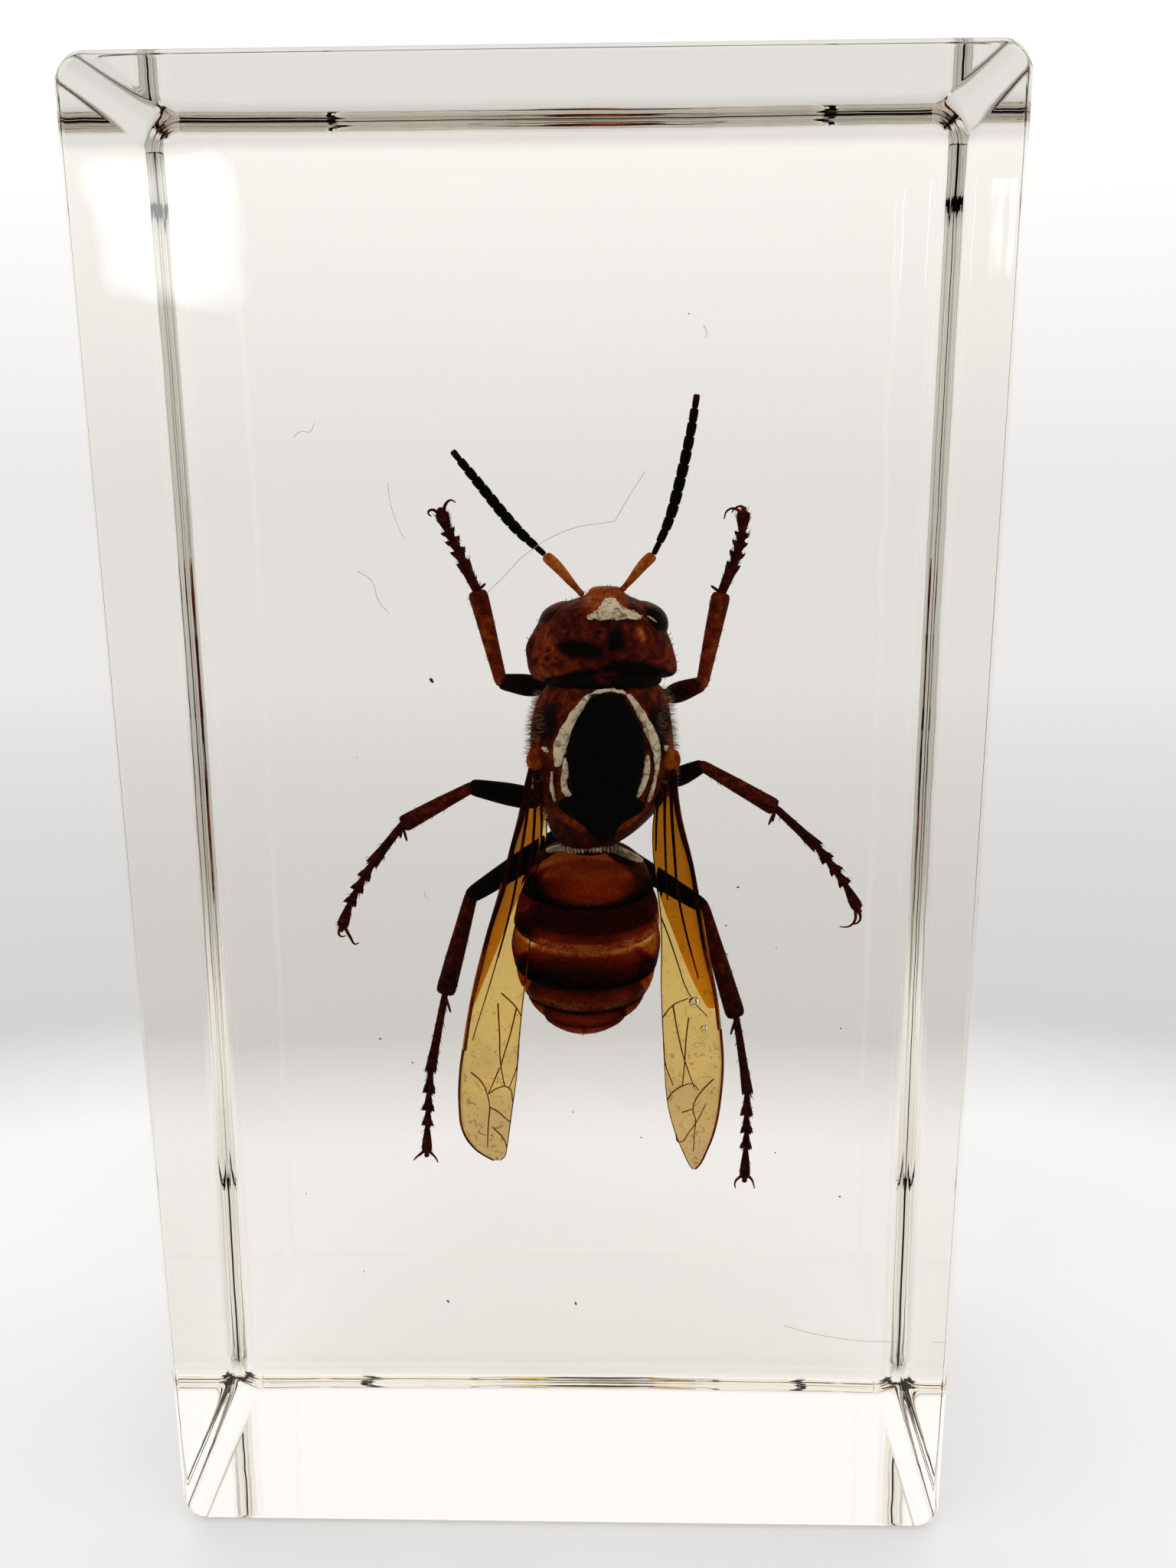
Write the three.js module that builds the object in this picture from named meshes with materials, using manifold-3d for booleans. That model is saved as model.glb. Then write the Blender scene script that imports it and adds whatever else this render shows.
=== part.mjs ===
// A clear cast-resin block that stands on its end, with an insect sealed inside it.
//
// Frame: millimetres, +Z up, +X to the right of someone facing the block, +Y away from them.
// The origin is the middle of the foot, the flat end that the block stands on.
//
// The block is one solid. It was cast face down in a polished mould, so the edges round its
// front face are crisp, and the edges round its back face, the open side of the mould, were
// rounded off by grinding and polishing. The insect is sealed in the resin with no space left
// around it, so it takes nothing away from the solid.

import * as THREE from "three";
import Module from "manifold-3d";

// Driving dimensions.
const WIDTH = 41; // along X
const DEPTH = 22; // along Y, front face to back face
const HEIGHT = 73; // along Z
const FRONT_EDGE = 0.8; // radius of the edges round the front face
const BACK_EDGE = 1.3; // radius of the edges round the back face
const CORNER = 1.4; // radius of the four edges that run from front to back
const ROUND_STEPS = 8; // flats across each rounded edge

const RESIN = new THREE.MeshStandardMaterial({
  name: "clear_resin",
  color: 0xf3f1e4,
  roughness: 0.04,
  metalness: 0,
  transparent: true,
  opacity: 0.3,
});

const manifold = await Module();
manifold.setup();

/** The block's outline seen from the front, drawn smaller all round by inset. */
function outline(inset) {
  const halfWidth = WIDTH / 2 - inset;
  const low = inset;
  const high = HEIGHT - inset;
  const radius = CORNER - inset;
  const shape = new THREE.Shape();
  shape.moveTo(-halfWidth + radius, low);
  shape.lineTo(halfWidth - radius, low);
  shape.absarc(halfWidth - radius, low + radius, radius, -Math.PI / 2, 0, false);
  shape.lineTo(halfWidth, high - radius);
  shape.absarc(halfWidth - radius, high - radius, radius, 0, Math.PI / 2, false);
  shape.lineTo(-halfWidth + radius, high);
  shape.absarc(-halfWidth + radius, high - radius, radius, Math.PI / 2, Math.PI, false);
  shape.lineTo(-halfWidth, low + radius);
  shape.absarc(-halfWidth + radius, low + radius, radius, Math.PI, Math.PI * 1.5, false);
  return shape;
}

/**
 * The outlines that follow one rounded edge, as points.
 *
 * faceY is where the face is, and inward is +1 or -1, the way along Y that leads into the block.
 */
function roundedRim(faceY, inward, radius) {
  const points = [];
  for (let step = 0; step <= ROUND_STEPS; step += 1) {
    const turn = (Math.PI / 2) * (step / ROUND_STEPS);
    const inset = radius * (1 - Math.sin(turn));
    const y = faceY + inward * radius * (1 - Math.cos(turn));
    for (const corner of outline(inset).getPoints(ROUND_STEPS)) {
      points.push([corner.x, y, corner.y]);
    }
  }
  return points;
}

/** A manifold-3d solid as a geometry with flat-shaded faces. */
function toGeometry(solid) {
  const mesh = solid.getMesh();
  const geometry = new THREE.BufferGeometry();
  geometry.setAttribute("position", new THREE.BufferAttribute(mesh.vertProperties, 3));
  geometry.setIndex(new THREE.BufferAttribute(mesh.triVerts, 1));
  const flat = geometry.toNonIndexed();
  flat.computeVertexNormals();
  return flat;
}

/** The block: it bulges outward everywhere, so it is the hull of its two rounded rims. */
function resinBlock() {
  const frontRim = roundedRim(-DEPTH / 2, 1, FRONT_EDGE);
  const backRim = roundedRim(DEPTH / 2, -1, BACK_EDGE);
  const solid = manifold.Manifold.hull([...frontRim, ...backRim]);
  const block = new THREE.Mesh(toGeometry(solid), RESIN);
  block.name = "resin_block";
  return block;
}

const part = new THREE.Group();
part.name = "insect_in_resin_block";
part.add(resinBlock());

export default part;
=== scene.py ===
"""A hornet cast in a clear resin block: the finished looks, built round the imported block.

The hornet is modelled at the bench in millimetres, head up and back towards the viewer, with
the middle of its thorax at the origin: +X is the viewer's right, +Y leads from its back to its
belly and +Z leads towards its head. Each finished piece is then set into the block and sealed.
"""

import logging
import math
import random
from contextlib import contextmanager
from dataclasses import dataclass
from enum import Enum
from typing import Callable, Iterator, Sequence

import bmesh
import bpy
from mathutils import Matrix, Vector


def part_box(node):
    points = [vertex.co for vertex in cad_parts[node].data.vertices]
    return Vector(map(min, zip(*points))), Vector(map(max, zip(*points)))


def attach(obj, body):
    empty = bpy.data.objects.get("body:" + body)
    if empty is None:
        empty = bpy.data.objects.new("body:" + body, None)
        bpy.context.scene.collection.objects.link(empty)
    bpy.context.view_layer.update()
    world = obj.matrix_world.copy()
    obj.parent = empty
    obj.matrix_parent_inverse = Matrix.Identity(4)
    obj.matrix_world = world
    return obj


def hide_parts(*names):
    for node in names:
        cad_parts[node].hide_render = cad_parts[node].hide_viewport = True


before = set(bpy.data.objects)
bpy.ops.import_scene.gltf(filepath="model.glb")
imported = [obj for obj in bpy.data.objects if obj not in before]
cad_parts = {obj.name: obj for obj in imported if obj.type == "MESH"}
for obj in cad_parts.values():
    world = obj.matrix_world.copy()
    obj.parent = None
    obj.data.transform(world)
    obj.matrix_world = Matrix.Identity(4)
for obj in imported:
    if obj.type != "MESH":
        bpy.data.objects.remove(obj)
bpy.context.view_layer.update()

LOG = logging.getLogger("hornet_block")
MM = 0.001
HEART = Vector((2.5, 0.0, 41.0))  # the middle of the thorax, in the block, in millimetres
BODY = "root"
IN_FRONT = -6.0  # where a sheet hangs along Y before it is laid on its host, in millimetres

Colour = tuple[float, float, float]
Place = tuple[float, float, float]


# ------------------------------------------------------------------ the modelling bench


class Side(Enum):
    """The two sides of the hornet, as the viewer sees them."""

    LEFT = -1
    RIGHT = 1

    @property
    def label(self) -> str:
        """The side's name as it starts a piece's name."""
        return self.name.lower()


@dataclass(frozen=True)
class Ring:
    """One cross-section of a form that is drawn out along +Z.

    along is its height, wide and deep its half-sizes along X and Y, x and y how far its middle
    lies off the axis, and lean how far it is turned about Y, in degrees.
    """

    along: float
    wide: float
    deep: float
    x: float = 0.0
    y: float = 0.0
    lean: float = 0.0

    def middle(self) -> Vector:
        """The middle of the ring, in metres."""
        return Vector((self.x, self.y, self.along)) * MM


@dataclass(frozen=True)
class Patch:
    """A soft-edged oval, seen from the front, where the shell has another thickness."""

    x: float
    z: float
    wide: float
    tall: float
    level: float
    turn: float = 0.0
    soft: float = 0.45

    def over(self, place: Vector, value: float) -> float:
        """The thickness value at a place, once this patch is laid over it."""
        turn = math.radians(self.turn)
        across, up = place.x - self.x, place.z - self.z
        a = (across * math.cos(turn) + up * math.sin(turn)) / self.wide
        b = (up * math.cos(turn) - across * math.sin(turn)) / self.tall
        share = min(1.0, max(0.0, (1.0 + self.soft - math.hypot(a, b)) / (2 * self.soft)))
        share = share * share * (3 - 2 * share)
        return value + (self.level - value) * share


def clear_bench() -> None:
    """Leaves edit mode and deselects everything."""
    if bpy.context.object and bpy.context.object.mode != "OBJECT":
        bpy.ops.object.mode_set(mode="OBJECT")
    bpy.ops.object.select_all(action="DESELECT")


def hold(*pieces: bpy.types.Object) -> bpy.types.Object:
    """Selects these pieces and nothing else, and makes the first one active.

    Args:
        *pieces: The pieces to select.

    Returns:
        The first piece.
    """
    clear_bench()
    for piece in pieces:
        piece.select_set(True)
    bpy.context.view_layer.objects.active = pieces[0]
    return pieces[0]


@contextmanager
def shaping(piece: bpy.types.Object) -> Iterator[None]:
    """Keeps one piece in edit mode, with nothing of it selected at first."""
    hold(piece)
    bpy.ops.object.mode_set(mode="EDIT")
    bpy.ops.mesh.select_all(action="DESELECT")
    yield
    bpy.ops.object.mode_set(mode="OBJECT")


def pick_edges(piece: bpy.types.Object, wanted: Callable[[Vector, Vector], bool]) -> None:
    """Selects the edges of a piece in edit mode by their place.

    Args:
        piece: The piece, in edit mode.
        wanted: Says whether to take one, from its middle in millimetres and its direction.
    """
    bpy.ops.mesh.select_mode(type="EDGE")
    bpy.ops.mesh.select_all(action="DESELECT")
    mesh = bmesh.from_edit_mesh(piece.data)
    for edge in mesh.edges:
        start, end = (vertex.co for vertex in edge.verts)
        if wanted((start + end) / 2 / MM, (end - start).normalized()):
            edge.select_set(True)
    mesh.select_flush_mode()
    bmesh.update_edit_mesh(piece.data)


def apply_modifier(piece: bpy.types.Object, kind: str, **settings: object) -> None:
    """Adds one modifier with these settings and applies it."""
    hold(piece)
    bpy.ops.object.modifier_add(type=kind)
    modifier = piece.modifiers[-1]
    for name, value in settings.items():
        setattr(modifier, name, value)
    bpy.ops.object.modifier_apply(modifier=modifier.name)


def smooth(piece: bpy.types.Object, rounds: int) -> None:
    """Subdivides a piece into smooth curves."""
    if rounds:
        apply_modifier(piece, "SUBSURF", levels=rounds, render_levels=rounds)


def face_outward(piece: bpy.types.Object) -> None:
    """Closes doubled seams and turns every face outwards."""
    with shaping(piece):
        bpy.ops.mesh.select_all(action="SELECT")
        bpy.ops.mesh.remove_doubles(threshold=0.0001 * MM)
        bpy.ops.mesh.normals_make_consistent(inside=False)


def draw_out(
    name: str, rings: Sequence[Ring], sides: int = 12, rounds: int = 1
) -> bpy.types.Object:
    """Draws a form out along +Z, ring by ring.

    Args:
        name: The piece's name.
        rings: The cross-sections, in order.
        sides: How many sides each ring has.
        rounds: How often the form is then subdivided.

    Returns:
        The piece, standing on the bench's origin.
    """
    clear_bench()
    first = rings[0]
    bpy.ops.mesh.primitive_circle_add(
        vertices=sides, radius=MM, fill_type="NGON", location=first.middle()
    )
    piece = bpy.context.object
    piece.name = name
    bpy.ops.object.mode_set(mode="EDIT")
    bpy.ops.transform.resize(value=(first.wide, first.deep, 1), center_override=first.middle())
    turn_ring(first.lean, first.middle())
    for last, ring in zip(rings, rings[1:]):
        step = ring.middle() - last.middle()
        bpy.ops.mesh.extrude_region_move(TRANSFORM_OT_translate={"value": step})
        bpy.ops.transform.resize(
            value=(ring.wide / last.wide, ring.deep / last.deep, 1),
            center_override=ring.middle(),
        )
        turn_ring(ring.lean - last.lean, ring.middle())
    bpy.ops.object.mode_set(mode="OBJECT")
    settle_transform(piece)
    face_outward(piece)
    smooth(piece, rounds)
    return piece


def turn_ring(degrees: float, middle: Vector) -> None:
    """Turns what is selected about the Y axis through a point; with no window it turns back to front."""
    if degrees:
        bpy.ops.transform.rotate(
            value=-math.radians(degrees), orient_axis="Y", center_override=middle
        )


def settle_transform(piece: bpy.types.Object) -> None:
    """Applies a piece's place, turn and scale to its mesh."""
    hold(piece)
    bpy.ops.object.transform_apply(location=True, rotation=True, scale=True)


def aim(piece: bpy.types.Object, foot: Place, tip: Place) -> bpy.types.Object:
    """Moves a form that was drawn out along +Z so that it stands at foot and points at tip.

    Args:
        piece: The form, at the bench's origin.
        foot: Where its origin goes, in millimetres.
        tip: A point that its axis leads to.

    Returns:
        The piece.
    """
    along = (Vector(tip) - Vector(foot)).normalized()
    across = Vector((0, 1, 0)).cross(along).normalized()
    depth = along.cross(across)
    axes = Matrix((across, depth, along)).transposed().to_4x4()
    piece.matrix_world = Matrix.Translation(Vector(foot) * MM) @ axes
    settle_transform(piece)
    return piece


def copy_of(piece: bpy.types.Object, name: str) -> bpy.types.Object:
    """A copy of a piece with its own mesh."""
    hold(piece)
    bpy.ops.object.duplicate(linked=False)
    twin = bpy.context.object
    twin.name = name
    return twin


def join(name: str, pieces: Sequence[bpy.types.Object]) -> bpy.types.Object:
    """Joins several pieces into one with this name."""
    whole = hold(*pieces)
    if len(pieces) > 1:
        bpy.ops.object.join()
    whole.name = name
    return whole


def discard(piece: bpy.types.Object) -> None:
    """Throws a pattern piece away."""
    hold(piece)
    bpy.ops.object.delete()


def nudge(
    piece: bpy.types.Object,
    near: Place,
    reach: float,
    move: Place,
) -> None:
    """Pushes a soft dent or bump into a piece round one point.

    Args:
        piece: The piece.
        near: The middle of the push, in millimetres.
        reach: How far round it the surface follows.
        move: How far and which way it is pushed.
    """
    target = Vector(near)
    nearest = min(piece.data.vertices, key=lambda vertex: (vertex.co / MM - target).length).index
    with shaping(piece):
        bpy.ops.mesh.select_mode(type="VERT")
        mesh = bmesh.from_edit_mesh(piece.data)
        mesh.verts.ensure_lookup_table()
        mesh.verts[nearest].select_set(True)
        mesh.select_flush_mode()
        bmesh.update_edit_mesh(piece.data)
        bpy.ops.transform.translate(
            value=Vector(move) * MM,
            use_proportional_edit=True,
            proportional_edit_falloff="SMOOTH",
            proportional_size=reach * MM,
        )


def wire(
    name: str, points: Sequence[Place], radius: float, taper: float = 1.0, sides: int = 1
) -> bpy.types.Object:
    """Draws a thin round wire through some points.

    Args:
        name: The piece's name.
        points: What it passes through, in millimetres.
        radius: Its radius at its start.
        taper: Its radius at its end, as a share of that.
        sides: 0 for four sides, 1 for six, 2 for eight.

    Returns:
        The wire, as a mesh.
    """
    clear_bench()
    bpy.ops.mesh.primitive_plane_add(size=MM, location=Vector(points[0]) * MM)
    piece = bpy.context.object
    bpy.ops.object.mode_set(mode="EDIT")
    bpy.ops.mesh.select_mode(type="VERT")
    bpy.ops.mesh.merge(type="CENTER")
    for last, point in zip(points, points[1:]):
        step = (Vector(point) - Vector(last)) * MM
        bpy.ops.mesh.extrude_region_move(TRANSFORM_OT_translate={"value": step})
    bpy.ops.object.mode_set(mode="OBJECT")
    settle_transform(piece)
    bpy.ops.object.convert(target="CURVE")
    bpy.ops.object.mode_set(mode="EDIT")
    bpy.ops.curve.select_all(action="SELECT")
    bpy.ops.curve.spline_type_set(type="BEZIER")
    bpy.ops.curve.handle_type_set(type="AUTOMATIC")
    bpy.ops.object.mode_set(mode="OBJECT")
    curve = bpy.context.object
    curve.data.bevel_depth = radius * MM
    curve.data.bevel_resolution = sides
    curve.data.resolution_u = 4
    curve.data.use_fill_caps = True
    bends = curve.data.splines[0].bezier_points
    for number, bend in enumerate(bends):
        bend.radius = 1 + (taper - 1) * number / (len(bends) - 1)
    bpy.ops.object.convert(target="MESH")
    made = bpy.context.object
    made.name = name
    return made


def grade(piece: bpy.types.Object, rule: Callable[[Vector], float], name: str = "thin") -> None:
    """Writes a number at each vertex of a piece, from its place in millimetres."""
    values = [rule(vertex.co / MM) for vertex in piece.data.vertices]
    layer = piece.data.attributes.get(name) or piece.data.attributes.new(name, "FLOAT", "POINT")
    layer.data.foreach_set("value", values)


def lay_patches(base: float, patches: Sequence[Patch]) -> Callable[[Vector], float]:
    """A thickness rule: one value all over, with patches laid over it in order."""

    def rule(place: Vector) -> float:
        """The value at a place in millimetres."""
        value = base
        for patch in patches:
            value = patch.over(place, value)
        return value

    return rule


def by_place(face: tuple[Vector, Vector, float]) -> tuple[float, ...]:
    """Sorts faces by their middles: coarsely first, so that a change in a last digit moves nothing."""
    middle = face[0]
    return (*(round(share, 1) for share in middle), *(round(share, 4) for share in middle))


def sow_hairs(
    name: str,
    host: bpy.types.Object,
    count: int,
    length: float,
    seed: int,
    lean: Place = (0.0, 0.0, -0.4),
    where: Callable[[Vector, Vector], bool] = lambda place, normal: True,
    thick: float = 0.018,
) -> bpy.types.Object:
    """Grows short bent hairs on a host's surface, as one mesh.

    Args:
        name: The piece's name.
        host: What they grow on.
        count: How many there are.
        length: The mean length, in millimetres.
        seed: Starts the row of chances.
        lean: Added to the surface's normal to comb the hairs one way.
        where: Says whether hairs grow at a place with a normal.
        thick: A hair's radius at its root.

    Returns:
        The hairs.
    """
    chance = random.Random(seed)
    faces = [
        (face.center / MM, face.normal.copy(), face.area)
        for face in host.data.polygons
        if where(face.center / MM, face.normal)
    ]
    faces.sort(key=by_place)  # extruding leaves them in an order that changes from run to run
    mesh = bmesh.new()
    areas = [area for _, _, area in faces]
    for middle, normal, area in chance.choices(faces, weights=areas, k=count) if faces else []:
        spread = math.sqrt(area) / MM * 0.5
        jitter = Vector([chance.uniform(-1, 1) for _ in range(3)])
        root = middle + (jitter - normal * jitter.dot(normal)) * spread - normal * thick
        heading = (normal + Vector(lean) + jitter * 0.25).normalized()
        bend = (Vector(lean) * 0.35 + jitter * 0.12) * length
        reach = length * chance.uniform(0.6, 1.25)
        side = heading.orthogonal().normalized()
        third = heading.cross(side)
        rows = []
        for share, radius in ((0.0, thick), (0.5, thick * 0.7)):
            centre = root + heading * reach * share + bend * share * share
            rows.append(
                [
                    mesh.verts.new(
                        (centre + (side * math.cos(a) + third * math.sin(a)) * radius) * MM
                    )
                    for a in (0.0, math.tau / 3, 2 * math.tau / 3)
                ]
            )
        tip = mesh.verts.new((root + heading * reach + bend) * MM)
        for k in range(3):
            j = (k + 1) % 3
            mesh.faces.new((rows[0][k], rows[0][j], rows[1][j], rows[1][k]))
            mesh.faces.new((rows[1][k], rows[1][j], tip))
        mesh.faces.new(reversed(rows[0]))
    data = bpy.data.meshes.new(name)
    mesh.to_mesh(data)
    mesh.free()
    hairs = bpy.data.objects.new(name, data)
    bpy.context.scene.collection.objects.link(hairs)
    return hairs


def seal(piece: bpy.types.Object, finish: bpy.types.Material) -> bpy.types.Object:
    """Sets a finished piece into the block, dresses it and lets it ride on the block.

    Args:
        piece: The piece, as modelled at the bench.
        finish: Its material.

    Returns:
        The piece.
    """
    piece.location = HEART * MM
    settle_transform(piece)
    bpy.ops.object.shade_smooth()
    piece.data.materials.clear()
    piece.data.materials.append(finish)
    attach(piece, BODY)
    LOG.info("%s: %d faces", piece.name, len(piece.data.polygons))
    return piece


# ------------------------------------------------------------------ the finishes


class Graph:
    """The nodes of a new material, or of a new room, with short calls to add and join them."""

    def __init__(self, name: str, room: bool = False) -> None:
        """Starts a material, or a room, with nothing but its output."""
        self.block = (bpy.data.worlds if room else bpy.data.materials).new(name)
        self.block.use_nodes = True
        self.tree = self.block.node_tree
        self.tree.nodes.clear()
        self.output = self.tree.nodes.new(f"ShaderNodeOutput{'World' if room else 'Material'}")

    def add(self, kind: str, settings: dict | None = None, **inputs: object) -> bpy.types.Node:
        """Adds a node.

        Args:
            kind: The node's type.
            settings: Its own settings, by name.
            **inputs: Its inputs by name, with _ for a space: a value, or a socket to join.

        Returns:
            The node.
        """
        node = self.tree.nodes.new(kind)
        for name, value in (settings or {}).items():
            setattr(node, name, value)
        for name, value in inputs.items():
            self.feed(node.inputs[name.replace("_", " ")], value)
        return node

    def feed(self, socket: bpy.types.NodeSocket, value: object) -> None:
        """Sets an input to a value, or joins another node's output to it."""
        if isinstance(value, bpy.types.NodeSocket):
            self.tree.links.new(value, socket)
        elif isinstance(value, tuple) and len(value) == 3 and socket.type == "RGBA":
            socket.default_value = (*value, 1.0)
        else:
            socket.default_value = value

    def millimetres(self, stretch: Place = (1.0, 1.0, 1.0)) -> bpy.types.NodeSocket:
        """The piece's own coordinates, in millimetres, stretched by a factor each way."""
        place = self.add("ShaderNodeTexCoord").outputs["Object"]
        scale = tuple(1.0 / MM * share for share in stretch)
        return self.add("ShaderNodeMapping", Vector=place, Scale=scale).outputs["Vector"]

    def noise(
        self, vector: bpy.types.NodeSocket, cells: float, detail: float = 3.0, warp: float = 0.0
    ) -> bpy.types.NodeSocket:
        """Cloudy noise with this many cells to the millimetre."""
        node = self.add(
            "ShaderNodeTexNoise", Vector=vector, Scale=cells, Detail=detail, Distortion=warp
        )
        return node.outputs["Fac"]

    def maths(self, kind: str, *values: object) -> bpy.types.NodeSocket:
        """One step of arithmetic."""
        node = self.add("ShaderNodeMath", {"operation": kind})
        for socket, value in zip(node.inputs, values):
            self.feed(socket, value)
        return node.outputs[0]

    def band(
        self, value: bpy.types.NodeSocket, low: float, high: float, a: float = 0.0, b: float = 1.0
    ) -> bpy.types.NodeSocket:
        """Maps low to high onto a to b, and holds the ends."""
        node = self.add("ShaderNodeMapRange", Value=value)
        for name, number in zip(("From Min", "From Max", "To Min", "To Max"), (low, high, a, b)):
            node.inputs[name].default_value = number
        return node.outputs["Result"]

    def ramp(
        self, value: bpy.types.NodeSocket, stops: Sequence[tuple[float, Colour]]
    ) -> bpy.types.NodeSocket:
        """Turns a number into a colour, by stops from 0 to 1."""
        node = self.add("ShaderNodeValToRGB", Fac=value)
        ramp = node.color_ramp
        while len(ramp.elements) < len(stops):
            ramp.elements.new(0.5)
        for element, (position, colour) in zip(ramp.elements, stops):
            element.position = position
            element.color = (*colour, 1.0)
        return node.outputs["Color"]

    def mix(
        self, share: object, first: object, second: object, how: str = "MIX"
    ) -> bpy.types.NodeSocket:
        """Mixes two colours."""
        node = self.add("ShaderNodeMix", {"data_type": "RGBA", "blend_type": how})
        for number, value in ((0, share), (6, first), (7, second)):
            self.feed(node.inputs[number], value)
        return node.outputs[2]

    def bump(self, height: bpy.types.NodeSocket, strength: float, depth: float) -> object:
        """A bump from a height, with its depth in millimetres."""
        return self.add(
            "ShaderNodeBump", Height=height, Strength=strength, Distance=depth * MM
        ).outputs["Normal"]

    def finish(self, surface: bpy.types.Node) -> bpy.types.ID:
        """Joins the surface to the output and returns the material or the room."""
        self.tree.links.new(surface.outputs[0], self.output.inputs["Surface"])
        return self.block

    def blend(
        self, share: object, first: bpy.types.Node, second: bpy.types.Node
    ) -> bpy.types.Node:
        """Mixes two shaders."""
        both = self.add("ShaderNodeMixShader", Fac=share)
        self.tree.links.new(first.outputs[0], both.inputs[1])
        self.tree.links.new(second.outputs[0], both.inputs[2])
        return both


# Dried shell seen against the light: black where it is thick, through red-brown, to gold.
SHELL_STOPS = (
    (0.00, (0.0012, 0.0008, 0.0010)), (0.22, (0.0120, 0.0012, 0.0008)),
    (0.42, (0.1150, 0.0085, 0.0022)), (0.60, (0.3900, 0.0480, 0.0045)),
    (0.78, (0.7200, 0.1800, 0.0150)), (1.00, (0.9500, 0.5500, 0.1500)),
)

# The gaster's shell, which light goes straight through.
GASTER_STOPS = (
    (0.00, (0.0006, 0.00001, 0.00001)), (0.20, (0.0033, 0.00002, 0.00001)),
    (0.30, (0.0055, 0.00003, 0.00001)), (0.45, (0.0600, 0.00090, 0.00005)),
    (0.60, (0.1000, 0.00640, 0.00010)), (0.70, (0.1800, 0.02100, 0.00025)),
    (0.80, (0.3200, 0.03500, 0.00060)), (0.90, (0.5000, 0.10000, 0.00400)),
    (1.00, (0.9500, 0.62000, 0.28000)),
)


@dataclass(frozen=True)
class Shell:
    """Dried insect shell.

    thin is how thin it is before the piece's own patches are added, mottle how far blotches
    change that, cells the blotches to the millimetre, glow the share that scatters light through
    it, and clear the share of the rest that light goes straight through.
    """

    name: str
    thin: float = 0.0
    mottle: float = 0.13
    cells: float = 2.2
    glow: float = 0.35
    clear: float = 0.0
    roughness: float = 0.55
    pits: float = 0.35
    stops: tuple[tuple[float, Colour], ...] = SHELL_STOPS

    def make(self) -> bpy.types.Material:
        """Builds the material."""
        graph = Graph(self.name)
        place = graph.millimetres()
        patches = graph.add("ShaderNodeAttribute", {"attribute_name": "thin"}).outputs["Fac"]
        blotches = graph.noise(place, self.cells, 4.0, 0.6)
        specks = graph.noise(place, self.cells * 7, 2.0)
        thin = graph.maths("ADD", patches, self.thin)
        thin = graph.maths("ADD", thin, graph.band(blotches, 0.3, 0.7, -self.mottle, self.mottle))
        thin = graph.maths("ADD", thin, graph.band(specks, 0.35, 0.65, -0.05, 0.05))
        colour = graph.ramp(thin, self.stops)
        wear = graph.band(graph.noise(place, self.cells * 3, 3.0), 0.3, 0.7, -0.1, 0.1)
        dents = graph.noise(place, 11.0, 2.0)
        normal = graph.bump(dents, self.pits, 0.05)
        body = graph.add(
            "ShaderNodeBsdfPrincipled",
            Base_Color=colour,
            Roughness=graph.maths("ADD", wear, self.roughness),
            Specular_IOR_Level=0.03,
            IOR=1.02 if self.clear else 1.5,
            Transmission_Weight=self.clear,
            Normal=normal,
        )
        through = graph.add("ShaderNodeBsdfTranslucent", Color=colour, Normal=normal)
        return graph.finish(graph.blend(self.glow, body, through))


@dataclass(frozen=True)
class WingSkin:
    """The amber skin of a wing: palest in its middle and brown towards its tip."""

    name: str
    tip_z: float = 18.5
    root_z: float = 40.0

    def make(self) -> bpy.types.Material:
        """Builds the material."""
        graph = Graph(self.name)
        place = graph.millimetres()
        height = graph.add("ShaderNodeSeparateXYZ", Vector=place).outputs["Z"]
        drift = graph.band(graph.noise(place, 0.5, 2.0), 0.3, 0.7, -1.2, 1.2)
        along = graph.band(graph.maths("ADD", height, drift), self.tip_z, self.root_z)
        edge = graph.add("ShaderNodeAttribute", {"attribute_name": "rim"}).outputs["Fac"]
        colour = graph.ramp(
            along,
            (
                (0.00, (0.55, 0.38, 0.17)), (0.20, (0.66, 0.45, 0.16)), (0.34, (0.88, 0.62, 0.20)),
                (0.45, (0.93, 0.66, 0.20)), (0.60, (0.86, 0.60, 0.18)), (0.75, (0.79, 0.56, 0.20)),
                (1.00, (0.78, 0.55, 0.20)),
            ),
        )
        dirt = graph.band(graph.noise(place, 2.6, 5.0, 1.5), 0.56, 0.68)
        lower = graph.band(height, 20.0, 31.0, 0.75, 0.15)
        colour = graph.mix(graph.maths("MULTIPLY", dirt, lower), colour, (0.22, 0.11, 0.03))
        colour = graph.mix(edge, colour, (0.16, 0.035, 0.006))
        crease = graph.noise(graph.millimetres((6.0, 6.0, 0.8)), 0.8, 3.0)
        skin = graph.add(
            "ShaderNodeBsdfPrincipled",
            Base_Color=colour,
            Roughness=0.08,
            IOR=1.02,
            Transmission_Weight=1.0,
            Specular_IOR_Level=0.2,
            Normal=graph.bump(crease, 0.3, 0.04),
        )
        return graph.finish(skin)


@dataclass(frozen=True)
class AirFilm:
    """A film of air between the shell and the resin, which shines like crumpled foil."""

    name: str
    light: Colour = (0.92, 0.76, 0.50)
    dark: Colour = (0.26, 0.19, 0.10)
    cells: float = 2.4

    def make(self) -> bpy.types.Material:
        """Builds the material."""
        graph = Graph(self.name)
        place = graph.millimetres()
        creases = graph.noise(place, self.cells, 5.0, 1.2)
        colour = graph.ramp(creases, ((0.34, self.dark), (0.52, self.light), (0.75, (0.98, 0.86, 0.68))))
        film = graph.add(
            "ShaderNodeBsdfPrincipled",
            Base_Color=colour,
            Roughness=0.35,
            Metallic=0.15,
            Normal=graph.bump(creases, 0.8, 0.12),
        )
        return graph.finish(film)


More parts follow.
